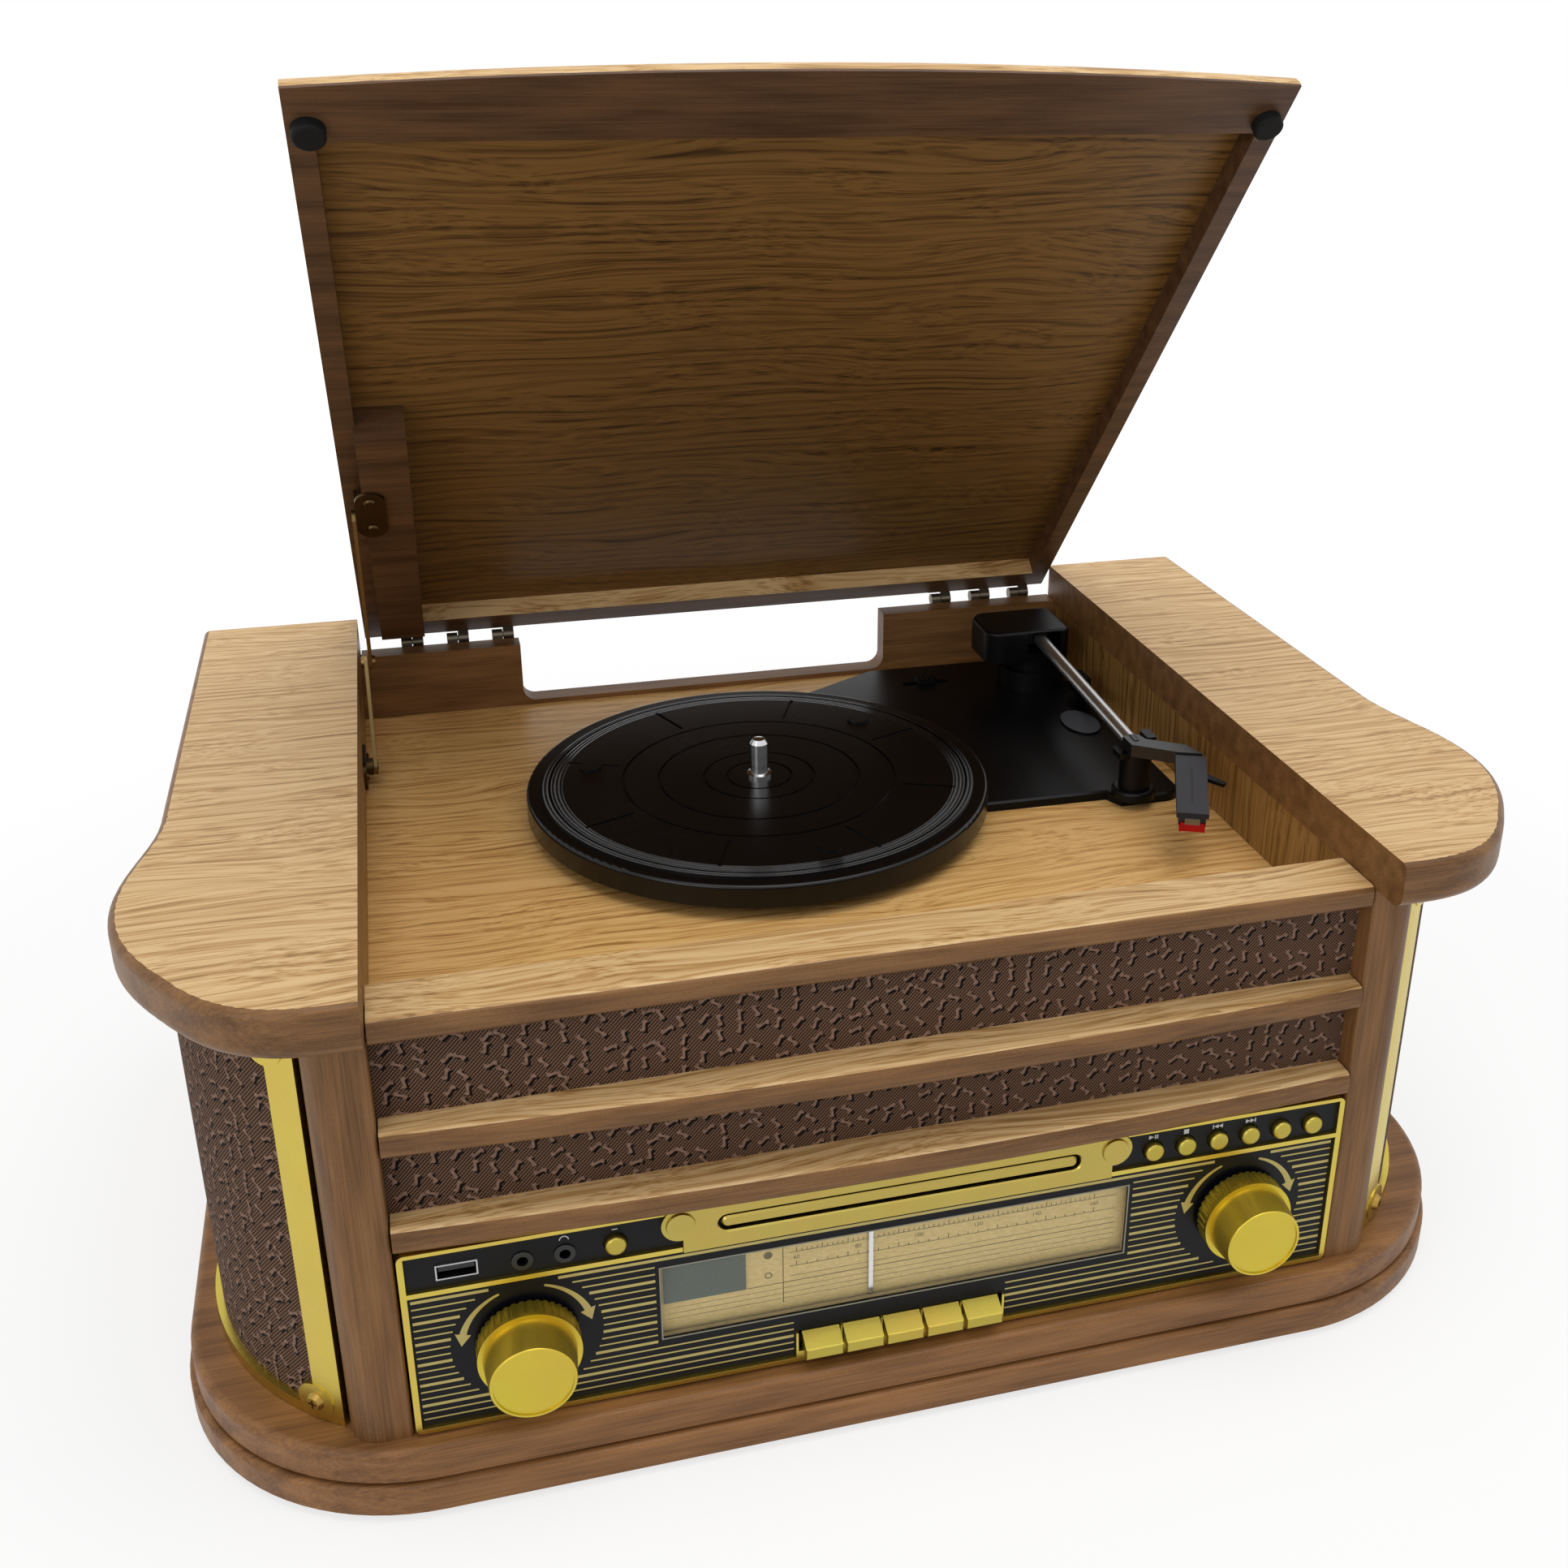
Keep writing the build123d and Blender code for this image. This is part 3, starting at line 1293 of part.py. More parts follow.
# Sliding speed switch
with BuildPart() as speed_switch:
    with BuildSketch(Plane.XY.offset(deck_top + 0.3)):
        with Locations((90, 122)):
            RectangleRounded(9, 7, 1.2)
    extrude(amount=2.6)
    with BuildSketch(Plane.XY.offset(deck_top + 2.9)):
        with Locations((90, 122)):
            with GridLocations(2.2, 0, 4, 1):
                Rectangle(0.8, 7.2)
    extrude(amount=-0.6, mode=Mode.SUBTRACT)
    with BuildSketch(Plane.XY.offset(deck_top + 0.3)):
        with Locations((90, 122)):
            Rectangle(5, 3.3)
    extrude(amount=-deck_t - 1.3)
    with BuildSketch(Plane.XY.offset(floor_top - 0.3)):
        with Locations((90, 122)):
            Rectangle(6, 8)
    extrude(amount=-1.2)
speed_switch.part.label = "speed_switch"
export_step(speed_switch.part, "parts/speed_switch.step")

# Yoke of the tone arm: a box turning on its stub, hollow at the front for the arm block
yoke_left = pivot_x - 27.3
yoke_right = pivot_x + 12.7
yoke_front = pivot_y - 14.0
yoke_back = pivot_y + 17.0
with BuildPart() as tonearm_yoke:
    with BuildSketch(Plane.XY.offset(yoke_bottom)) as yoke_outline:
        with Locations(((yoke_left + yoke_right) / 2, (yoke_front + yoke_back) / 2)):
            Rectangle(yoke_right - yoke_left, yoke_back - yoke_front)
        fillet(yoke_outline.vertices().group_by(Axis.X)[0], 8)
        fillet(yoke_outline.vertices().group_by(Axis.X)[-1], 3)
    extrude(amount=yoke_top - yoke_bottom)
    fillet(tonearm_yoke.faces().sort_by(Axis.Z)[-1].edges(), 1.5)
    with BuildSketch(Plane.XZ.offset(-yoke_front)):
        with Locations((pivot_x, arm_z)):
            Rectangle(16, 10.2)
    extrude(amount=-24, mode=Mode.SUBTRACT)
    with BuildSketch(Plane.XY.offset(yoke_bottom)):
        with Locations((pivot_x, pivot_y)):
            Circle(stub_r)
    extrude(amount=-12)
    with BuildSketch(Plane.YZ.offset(pivot_x - 8.5)):
        with Locations((pivot_y, arm_z)):
            Circle(pin_r)
    extrude(amount=17)
tonearm_yoke.part.label = "tonearm_yoke"
export_step(tonearm_yoke.part, "parts/tonearm_yoke.step")

# Tube of the tone arm, its pivot block and the cranked connector at its end
lean_rad = math.radians(arm_lean_deg)
arm_dir = (-math.sin(lean_rad), -math.cos(lean_rad), 0)
arm_plane = Plane(origin=(pivot_x, pivot_y, arm_z), x_dir=(1, 0, 0), z_dir=arm_dir)
head_rad = math.radians(head_deg)
head_dir = (-math.sin(head_rad), -math.cos(head_rad), 0)
head_side = (math.cos(head_rad), -math.sin(head_rad), 0)
tube_end_x = pivot_x + tube_len * arm_dir[0]
tube_end_y = pivot_y + tube_len * arm_dir[1]
with BuildPart() as tonearm_tube:
    with BuildSketch(Plane.XY.offset(arm_z - 3)) as block_outline:
        with Locations((pivot_x, pivot_y)):
            Rectangle(11.5, 14)
        fillet(block_outline.vertices(), 2)
    extrude(amount=6)
    with BuildSketch(arm_plane.offset(4)):
        Circle(tube_r)
    extrude(amount=tube_len - 4)
    with BuildSketch(Plane.YZ.offset(pivot_x - 8)):
        with Locations((pivot_y, arm_z)):
            Circle(pin_r + run_gap)
    extrude(amount=16, mode=Mode.SUBTRACT)
    with BuildSketch(Plane.XY.offset(arm_z - 2.6)) as crank_outline:
        with BuildLine():
            Polyline(
                (tube_end_x - 3.4, tube_end_y + 6),
                (tube_end_x + 3.4, tube_end_y + 6),
                (tube_end_x + 4.4, tube_end_y + 1),
                (head_x + 1.5, head_y + 8.0),
                (head_x + 4.5 * head_side[0], head_y + 4.5 * head_side[1]),
                (head_x - 4.5 * head_side[0], head_y - 4.5 * head_side[1]),
                (tube_end_x - 3.4, tube_end_y - 3),
                close=True,
            )
        make_face()
    extrude(amount=5.2)
tonearm_tube.part.label = "tonearm_tube"
export_step(tonearm_tube.part, "parts/tonearm_tube.step")

# Headshell with the cartridge, the stylus and the finger lift
head_section = Plane(
    origin=(head_x, head_y, arm_z),
    x_dir=head_dir,
    z_dir=(-head_side[0], -head_side[1], 0),
)
lift_x = head_x + 13 * head_dir[0] + 5 * head_side[0]
lift_y = head_y + 13 * head_dir[1] + 5 * head_side[1]
with BuildPart() as headshell:
    with BuildSketch(head_section):
        with BuildLine():
            Polyline(
                (0, 1.9),
                (0, -3.4),
                (3, -3.4),
                (head_len, -5.6),
                (head_len, -3.5),
                close=True,
            )
        make_face()
    extrude(amount=head_w / 2, both=True)
    fillet(headshell.edges().filter_by(lambda e: e.center().Z > arm_z + 1.8), 0.8)
    with BuildSketch(head_section):
        with BuildLine():
            Polyline(
                (21, -4.0),
                (20, -9.2),
                (38, -10.2),
                (head_len, -8.4),
                (head_len, -5.0),
                close=True,
            )
        make_face()
    extrude(amount=head_w / 2 - 1, both=True)
    with BuildSketch(head_section):
        with BuildLine():
            Polyline((36, -9.6), (40.6, -11.3), (41.4, -11.3), (41.0, -8.6), close=True)
        make_face()
    extrude(amount=0.6, both=True)
    with BuildSketch(Plane.XY.offset(arm_z - 1.8)):
        with BuildLine():
            Polyline(
                (lift_x - 1.5, lift_y + 2.5),
                (lift_x + 1.2, lift_y + 1.0),
                (head_x + 4.4, head_y - 22.5),
                (head_x + 2.7, head_y - 24.0),
                (lift_x - 2.0, lift_y - 1.5),
                close=True,
            )
        make_face()
    extrude(amount=1.4)
headshell.part.label = "headshell"
export_step(headshell.part, "parts/headshell.step")

# Lid frame with the square block the stay is fixed to
with BuildPart() as lid_frame:
    with BuildSketch(lid_plane.offset(rim_w)):
        with BuildLine():
            lid_nose = ThreePointArc((-lid_half_w, lid_front_end), (0, lid_front_mid), (lid_half_w, lid_front_end))
            Polyline(lid_nose @ 0, (-lid_half_w, lid_rear), (lid_half_w, lid_rear), lid_nose @ 1)
        make_face()
    extrude(amount=rail_depth)
    nose_edges = lid_frame.edges().filter_by(GeomType.CIRCLE)
    fillet(nose_edges.sort_by(lambda e: lid_plane.to_local_coords(e.center()).Z)[-1], lid_nose_r)
    with BuildSketch(lid_plane.offset(rim_w)):
        with Locations((0, (lid_front_rail_inner + lid_rear_rail_inner) / 2)):
            Rectangle(2 * (lid_half_w - lid_side_rail), lid_rear_rail_inner - lid_front_rail_inner)
    extrude(amount=rail_depth, mode=Mode.SUBTRACT)
    with BuildSketch(lid_plane.offset(rim_w - block_drop)):
        with Locations(((block_left + block_right) / 2, (block_end + lid_rear_rail_inner) / 2)):
            Rectangle(block_right - block_left, lid_rear_rail_inner - block_end)
    extrude(amount=block_drop + rail_depth)
lid_frame.part.label = "lid_frame"
export_step(lid_frame.part, "parts/lid_frame.step")

# Lid panel on top of the frame
panel_end = lid_front_end + lid_panel_setback
panel_mid = lid_front_mid + lid_panel_setback
with BuildPart() as lid_panel:
    with BuildSketch(lid_plane.offset(rim_w + rail_depth)):
        with BuildLine():
            panel_nose = ThreePointArc((-lid_half_w, panel_end), (0, panel_mid), (lid_half_w, panel_end))
            Polyline(panel_nose @ 0, (-lid_half_w, lid_rear), (lid_half_w, lid_rear), panel_nose @ 1)
        make_face()
    extrude(amount=lid_panel_t)
    panel_top_face = lid_panel.faces().sort_by(lambda f: lid_plane.to_local_coords(f.center()).Z)[-1]
    fillet(panel_top_face.edges().filter_by(GeomType.CIRCLE), 1.5)
lid_panel.part.label = "lid_panel"
export_step(lid_panel.part, "parts/lid_panel.step")

# Two soft bumpers under the front corners of the lid
with BuildPart() as lid_bumpers:
    with BuildSketch(lid_plane.offset(rim_w - bumper_t)):
        with Locations((-bumper_x, bumper_v), (bumper_x, bumper_v)):
            Circle(bumper_r)
    extrude(amount=bumper_t)
    bumper_faces = lid_bumpers.faces().sort_by(lambda f: lid_plane.to_local_coords(f.center()).Z)
    fillet(bumper_faces[0:2].edges(), 1.2)
lid_bumpers.part.label = "lid_bumpers"
export_step(lid_bumpers.part, "parts/lid_bumpers.step")

# Hinge leaves on the lid, each with three bored knuckles
knuckle_step = (knuckle_len + knuckle_gap) / 2
with BuildPart() as lid_hinge_leaves:
    with BuildSketch(lid_plane.offset(rim_w + 0.5)):
        with Locations((hinge_left_x, lid_rear + hinge_leaf_t / 2), (hinge_right_x, lid_rear + hinge_leaf_t / 2)):
            Rectangle(hinge_leaf_len, hinge_leaf_t)
    extrude(amount=rail_depth - 0.5)
    with BuildSketch(lid_plane):
        with Locations((hinge_left_x, lid_rear + hinge_leaf_t / 2), (hinge_right_x, lid_rear + hinge_leaf_t / 2)):
            with GridLocations(knuckle_pitch, 0, 3, 1):
                with Locations((knuckle_step, 0)):
                    Rectangle(knuckle_len, hinge_leaf_t)
    extrude(amount=rim_w + 0.5)
    with BuildSketch(Plane.YZ.offset(hinge_left_x - knuckle_pitch + knuckle_step - knuckle_len / 2)):
        with Locations((hinge_y, hinge_z)):
            Circle(barrel_r)
    extrude(amount=knuckle_len)
    with BuildSketch(Plane.YZ.offset(hinge_left_x + knuckle_step - knuckle_len / 2)):
        with Locations((hinge_y, hinge_z)):
            Circle(barrel_r)
    extrude(amount=knuckle_len)
    with BuildSketch(Plane.YZ.offset(hinge_left_x + knuckle_pitch + knuckle_step - knuckle_len / 2)):
        with Locations((hinge_y, hinge_z)):
            Circle(barrel_r)
    extrude(amount=knuckle_len)
    with BuildSketch(Plane.YZ.offset(hinge_right_x - knuckle_pitch + knuckle_step - knuckle_len / 2)):
        with Locations((hinge_y, hinge_z)):
            Circle(barrel_r)
    extrude(amount=knuckle_len)
    with BuildSketch(Plane.YZ.offset(hinge_right_x + knuckle_step - knuckle_len / 2)):
        with Locations((hinge_y, hinge_z)):
            Circle(barrel_r)
    extrude(amount=knuckle_len)
    with BuildSketch(Plane.YZ.offset(hinge_right_x + knuckle_pitch + knuckle_step - knuckle_len / 2)):
        with Locations((hinge_y, hinge_z)):
            Circle(barrel_r)
    extrude(amount=knuckle_len)
    with BuildSketch(Plane.YZ.offset(hinge_left_x - hinge_leaf_len / 2 - 1)):
        with Locations((hinge_y, hinge_z)):
            Circle(hinge_pin_r + run_gap)
    extrude(amount=hinge_right_x - hinge_left_x + hinge_leaf_len + 2, mode=Mode.SUBTRACT)
lid_hinge_leaves.part.label = "lid_hinge_leaves"
export_step(lid_hinge_leaves.part, "parts/lid_hinge_leaves.step")

# Hinge leaves on the cabinet, each with three knuckles and their pins
leaf_top = hinge_z - 3.0
with BuildPart() as hinge_leaves:
    with BuildSketch(Plane.XZ.offset(-back_outer - hinge_leaf_t)):
        with Locations((hinge_left_x, leaf_top - hinge_leaf_h / 2), (hinge_right_x, leaf_top - hinge_leaf_h / 2)):
            Rectangle(hinge_leaf_len, hinge_leaf_h)
        with Locations((hinge_left_x, hinge_z - 2), (hinge_right_x, hinge_z - 2)):
            with GridLocations(knuckle_pitch, 0, 3, 1):
                with Locations((-knuckle_step, 0)):
                    Rectangle(knuckle_len, 4)
    extrude(amount=hinge_leaf_t)
    with BuildSketch(Plane.YZ.offset(hinge_left_x - knuckle_pitch - knuckle_step - knuckle_len / 2)):
        with Locations((hinge_y, hinge_z)):
            Circle(barrel_r)
    extrude(amount=knuckle_len)
    with BuildSketch(Plane.YZ.offset(hinge_left_x - knuckle_step - knuckle_len / 2)):
        with Locations((hinge_y, hinge_z)):
            Circle(barrel_r)
    extrude(amount=knuckle_len)
    with BuildSketch(Plane.YZ.offset(hinge_left_x + knuckle_pitch - knuckle_step - knuckle_len / 2)):
        with Locations((hinge_y, hinge_z)):
            Circle(barrel_r)
    extrude(amount=knuckle_len)
    with BuildSketch(Plane.YZ.offset(hinge_right_x - knuckle_pitch - knuckle_step - knuckle_len / 2)):
        with Locations((hinge_y, hinge_z)):
            Circle(barrel_r)
    extrude(amount=knuckle_len)
    with BuildSketch(Plane.YZ.offset(hinge_right_x - knuckle_step - knuckle_len / 2)):
        with Locations((hinge_y, hinge_z)):
            Circle(barrel_r)
    extrude(amount=knuckle_len)
    with BuildSketch(Plane.YZ.offset(hinge_right_x + knuckle_pitch - knuckle_step - knuckle_len / 2)):
        with Locations((hinge_y, hinge_z)):
            Circle(barrel_r)
    extrude(amount=knuckle_len)
    with BuildSketch(Plane.YZ.offset(hinge_left_x - knuckle_pitch - knuckle_step)):
        with Locations((hinge_y, hinge_z)):
            Circle(hinge_pin_r)
    extrude(amount=2 * knuckle_step + knuckle_len / 2)
    with BuildSketch(Plane.YZ.offset(hinge_left_x - knuckle_step)):
        with Locations((hinge_y, hinge_z)):
            Circle(hinge_pin_r)
    extrude(amount=2 * knuckle_step + knuckle_len / 2)
    with BuildSketch(Plane.YZ.offset(hinge_left_x + knuckle_pitch - knuckle_step)):
        with Locations((hinge_y, hinge_z)):
            Circle(hinge_pin_r)
    extrude(amount=2 * knuckle_step + knuckle_len / 2)
    with BuildSketch(Plane.YZ.offset(hinge_right_x - knuckle_pitch - knuckle_step)):
        with Locations((hinge_y, hinge_z)):
            Circle(hinge_pin_r)
    extrude(amount=2 * knuckle_step + knuckle_len / 2)
    with BuildSketch(Plane.YZ.offset(hinge_right_x - knuckle_step)):
        with Locations((hinge_y, hinge_z)):
            Circle(hinge_pin_r)
    extrude(amount=2 * knuckle_step + knuckle_len / 2)
    with BuildSketch(Plane.YZ.offset(hinge_right_x + knuckle_pitch - knuckle_step)):
        with Locations((hinge_y, hinge_z)):
            Circle(hinge_pin_r)
    extrude(amount=2 * knuckle_step + knuckle_len / 2)
hinge_leaves.part.label = "hinge_leaves"
export_step(hinge_leaves.part, "parts/hinge_leaves.step")

# Stay bracket on the left wall of the well, with the pin of the lower arm
with BuildPart() as stay_bracket:
    with BuildSketch(Plane.YZ.offset(-well_wall_x)):
        with Locations((stay_wall_y, stay_wall_z)):
            RectangleRounded(26, 12, 4)
    extrude(amount=1.2)
    with BuildSketch(Plane.YZ.offset(-well_wall_x + 1.2)):
        with Locations((stay_wall_y - 9, stay_wall_z), (stay_wall_y + 9, stay_wall_z)):
            Circle(2.2)
    extrude(amount=0.8, taper=25)
    with BuildSketch(Plane.YZ.offset(-well_wall_x + 1.2)):
        with Locations((stay_wall_y, stay_wall_z)):
            Circle(3.6)
    extrude(amount=stay_lower_x - 0.3 + well_wall_x - 1.2)
    with BuildSketch(Plane.YZ.offset(-well_wall_x + 1.2)):
        with Locations((stay_wall_y, stay_wall_z)):
            Circle(stay_pin_r)
    extrude(amount=stay_lower_x + stay_arm_t + 0.3 + well_wall_x - 1.2)
stay_bracket.part.label = "stay_bracket"
export_step(stay_bracket.part, "parts/stay_bracket.step")

# Stay arms in the opened position, from the wall to the knee and from the knee to the lid
stay_lid_y = hinge_y - stay_lid_along * math.cos(open_rad) + stay_lid_off * math.sin(open_rad)
stay_lid_z = hinge_z + stay_lid_along * math.sin(open_rad) + stay_lid_off * math.cos(open_rad)
lower_len = math.hypot(stay_knee_y - stay_wall_y, stay_knee_z - stay_wall_z)
lower_deg = math.degrees(math.atan2(stay_knee_z - stay_wall_z, stay_knee_y - stay_wall_y))
upper_len = math.hypot(stay_knee_y - stay_lid_y, stay_knee_z - stay_lid_z)
upper_deg = math.degrees(math.atan2(stay_knee_z - stay_lid_z, stay_knee_y - stay_lid_y))
with BuildPart() as stay_arm_lower:
    with BuildSketch(Plane.YZ.offset(stay_lower_x)):
        with Locations(((stay_wall_y + stay_knee_y) / 2, (stay_wall_z + stay_knee_z) / 2)):
            SlotOverall(lower_len + stay_arm_w, stay_arm_w, rotation=lower_deg)
        with Locations((stay_wall_y, stay_wall_z)):
            Circle(stay_pin_r + run_gap, mode=Mode.SUBTRACT)
    extrude(amount=stay_arm_t)
    with BuildSketch(Plane.YZ.offset(stay_lower_x)):
        with Locations((stay_knee_y, stay_knee_z)):
            Circle(2.6)
    extrude(amount=-1.2, taper=25)
stay_arm_lower.part.label = "stay_arm_lower"
export_step(stay_arm_lower.part, "parts/stay_arm_lower.step")

with BuildPart() as stay_arm_upper:
    with BuildSketch(Plane.YZ.offset(stay_upper_x)):
        with Locations(((stay_lid_y + stay_knee_y) / 2, (stay_lid_z + stay_knee_z) / 2)):
            SlotOverall(upper_len + stay_arm_w, stay_arm_w, rotation=upper_deg)
        with Locations((stay_lid_y, stay_lid_z)):
            Circle(stay_pin_r + run_gap, mode=Mode.SUBTRACT)
    extrude(amount=stay_arm_t)
    with BuildSketch(Plane.YZ.offset(stay_upper_x + stay_arm_t)):
        with Locations((stay_knee_y, stay_knee_z)):
            Circle(2.6)
    extrude(amount=1.2, taper=25)
stay_arm_upper.part.label = "stay_arm_upper"
export_step(stay_arm_upper.part, "parts/stay_arm_upper.step")

# Stay bracket on the lid block: a screwed plate with a bent ear and the pin of the upper arm
ear_x = stay_upper_x + stay_arm_t + 0.4
ear_t = 1.2
plate_w_low = rim_w - block_drop - 1.2
with BuildPart() as lid_stay_bracket:
    with BuildSketch(lid_plane.offset(plate_w_low)):
        with Locations((ear_x + stay_plate_w / 2, stay_plate_mid)):
            SlotOverall(stay_plate_len, stay_plate_w, rotation=90)
        with Locations((ear_x + stay_plate_w / 4, stay_plate_mid)):
            Rectangle(stay_plate_w / 2, stay_plate_len - 14)
    extrude(amount=1.2)
    with BuildSketch(lid_plane.offset(plate_w_low)):
        with Locations(
            (ear_x + stay_plate_w / 2, stay_plate_mid + 9),
            (ear_x + stay_plate_w / 2, stay_plate_mid - 9),
        ):
            Circle(2.4)
    extrude(amount=-0.9, taper=25)
    with BuildSketch(lid_plane.offset(plate_w_low)):
        with Locations((ear_x + ear_t / 2, stay_plate_mid)):
            Rectangle(ear_t, stay_plate_len - 14)
    extrude(amount=7.4)
    with BuildSketch(Plane.YZ.offset(ear_x + ear_t)):
        with Locations((stay_lid_y, stay_lid_z)):
            Circle(stay_pin_r)
    extrude(amount=-(ear_x + ear_t - stay_upper_x + 0.1))
lid_stay_bracket.part.label = "lid_stay_bracket"
export_step(lid_stay_bracket.part, "parts/lid_stay_bracket.step")
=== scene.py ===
"""Finishes, printed marks and cloth of a retro wooden music centre with a record player."""

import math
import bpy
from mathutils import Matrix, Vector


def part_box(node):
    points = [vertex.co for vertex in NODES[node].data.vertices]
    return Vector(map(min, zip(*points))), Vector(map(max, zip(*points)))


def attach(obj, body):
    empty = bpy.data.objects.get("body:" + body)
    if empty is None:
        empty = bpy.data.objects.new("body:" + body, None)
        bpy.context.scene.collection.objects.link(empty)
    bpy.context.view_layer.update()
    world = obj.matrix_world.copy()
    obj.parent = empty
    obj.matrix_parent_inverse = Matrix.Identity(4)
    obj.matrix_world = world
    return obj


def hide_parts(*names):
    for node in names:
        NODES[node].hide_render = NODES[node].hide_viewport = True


bl_info = {
    "name": "Wooden Music Centre",
    "version": (1, 0, 0),
    "blender": (4, 5, 0),
    "location": "View3D > Sidebar > Music Centre",
    "description": "Veneers, cloth, gilt trim and printed marks of a wooden record player with radio",
    "category": "Object",
}

import bmesh
import bpy
from mathutils import Euler, Vector

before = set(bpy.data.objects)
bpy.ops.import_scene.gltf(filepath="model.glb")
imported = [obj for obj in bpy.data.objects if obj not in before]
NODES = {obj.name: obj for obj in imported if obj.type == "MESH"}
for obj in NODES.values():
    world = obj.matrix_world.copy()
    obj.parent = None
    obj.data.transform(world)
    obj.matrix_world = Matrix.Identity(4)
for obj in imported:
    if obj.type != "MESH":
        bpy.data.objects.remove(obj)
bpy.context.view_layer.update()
MM = 0.001
CLOTH_PLACE = "cloth_place"
NOISE_SCALE = 5.0  # Blender's own, when a pattern is stretched only by its place

# Places shared by several pieces, in millimetres; angles in degrees
LID_ANGLE = 49.1
HINGE_Y = 162.8
HINGE_Z = 188.2
PANEL_UNDERSIDE = 10.9
NOSE_START = 317.0
NOSE_LEVEL = 3.2
PLATE_FACE = -150.3
PRINT_DEPTH = PLATE_FACE - 0.06
KNOB_X = 126.5
KNOB_Z = 59.7
KNOB_CLEAR = 24.5
WINDOW_HALF = 82.7
WINDOW_LOW = 48.5
WINDOW_HIGH = 77.7
DIAL_FACE = -145.6
PLATTER_X = -12.5
PLATTER_Y = 17.0
HEAD_ANGLE = 23.5
HEAD_X = 149.6
HEAD_Y = -38.0
ARM_Z = 185.5

# Curved speaker cloth: middle and radius of its arc, and where the arc starts and ends
GRILLE_X = 133.0
GRILLE_Y = -57.5
GRILLE_RADIUS = 96.5
GRILLE_START = -56.5
GRILLE_END = 24.5
CLOTH_ACROSS = 40
CLOTH_UP = 10


def linear(code):
    """Turn an sRGB hex colour into linear values."""
    code = code.lstrip("#")
    parts = [int(code[start : start + 2], 16) / 255 for start in (0, 2, 4)]
    return tuple(p / 12.92 if p <= 0.04045 else ((p + 0.055) / 1.055) ** 2.4 for p in parts) + (1.0,)


def hexcode(colour):
    """Hex colour text of a linear colour property."""
    parts = [12.92 * c if c <= 0.0031308 else 1.055 * c ** (1 / 2.4) - 0.055 for c in colour[:3]]
    return "#" + "".join(f"{max(0, min(255, round(p * 255))):02x}" for p in parts)


def set_inputs(look, node, values):
    """Give each named input of a node a value, or link it to another node's output."""
    for name, value in values.items():
        socket = node.inputs[name]
        if isinstance(value, bpy.types.NodeSocket):
            look.node_tree.links.new(value, socket)
        else:
            socket.default_value = value


def add_node(look, kind, values=None, **settings):
    """Add one shader node, with its settings and inputs, to a look: a material or the world."""
    made = look.node_tree.nodes.new(kind)
    for name, value in settings.items():
        setattr(made, name, value)
    set_inputs(look, made, values or {})
    return made


def calculate(look, operation, *values):
    """One number worked out from others."""
    return add_node(look, "ShaderNodeMath", dict(enumerate(values)), operation=operation).outputs[0]


def vector(look, operation, *values):
    """A vector worked out from others, or the number that a length or a dot product gives."""
    made = add_node(look, "ShaderNodeVectorMath", dict(enumerate(values)), operation=operation)
    return made.outputs["Value" if operation in ("LENGTH", "DOT_PRODUCT") else "Vector"]


def spread(look, value, low, high, start=0.0, end=1.0):
    """Map a value between start and end onto the span from low to high."""
    return add_node(look, "ShaderNodeMapRange", {"Value": value, 1: start, 2: end, 3: low, 4: high}).outputs[0]


def noise(look, place, detail, scale=NOISE_SCALE, output="Fac"):
    """Noise whose cells are 1000 mm over the product of its scale and the stretch of the place."""
    values = {"Vector": place, "Scale": scale, "Detail": detail}
    return add_node(look, "ShaderNodeTexNoise", values).outputs[output]


def waves(look, place, scale, direction, **values):
    """Bands with a period of 314 mm over the scale."""
    named = {name.replace("_", " "): value for name, value in values.items()}
    named.update({"Vector": place, "Scale": scale})
    return add_node(look, "ShaderNodeTexWave", named, bands_direction=direction).outputs["Fac"]


def ramp(look, value, stops):
    """Colour of a value by stops, as pairs of position and hex colour."""
    made = add_node(look, "ShaderNodeValToRGB", {"Fac": value})
    elements = made.color_ramp.elements
    while len(elements) < len(stops):
        elements.new(0.5)
    for element, (position, code) in zip(elements, stops):
        element.position = position
        element.color = linear(code)
    return made.outputs["Color"]


def scaled(look, place, scale, turn=(0.0, 0.0, 0.0)):
    """Turn the place by degrees, then stretch it for a pattern, per metre."""
    angles = [math.radians(angle) for angle in turn]
    turned = add_node(look, "ShaderNodeMapping", {"Vector": place, "Rotation": angles}).outputs[0]
    return add_node(look, "ShaderNodeMapping", {"Vector": turned, "Scale": scale}).outputs[0]


def beyond(look, place, direction, limit):
    """One where the place lies further than limit millimetres along a direction, else zero."""
    along = vector(look, "DOT_PRODUCT", place, direction)
    return calculate(look, "GREATER_THAN", along, limit * MM)


def between(look, place, direction, low, high):
    """One where the place lies between two limits along a direction, in millimetres."""
    after = beyond(look, place, direction, low)
    over = beyond(look, place, direction, high)
    return calculate(look, "SUBTRACT", after, over)


def limit_mask(direction, limit):
    """A mask of the places further than limit millimetres along a direction."""
    return lambda look, place: beyond(look, place, direction, limit)


def both(look, first, second):
    """One where both masks are one."""
    return calculate(look, "MULTIPLY", first, second)


def either(look, first, second):
    """One where either mask is one."""
    return calculate(look, "MAXIMUM", first, second)


def blend_colours(look, mask, first, second, mode="MIX"):
    """Mix two colours by a mask."""
    made = add_node(look, "ShaderNodeMix", {0: mask, 6: first, 7: second}, data_type="RGBA", blend_type=mode)
    return made.outputs[2]


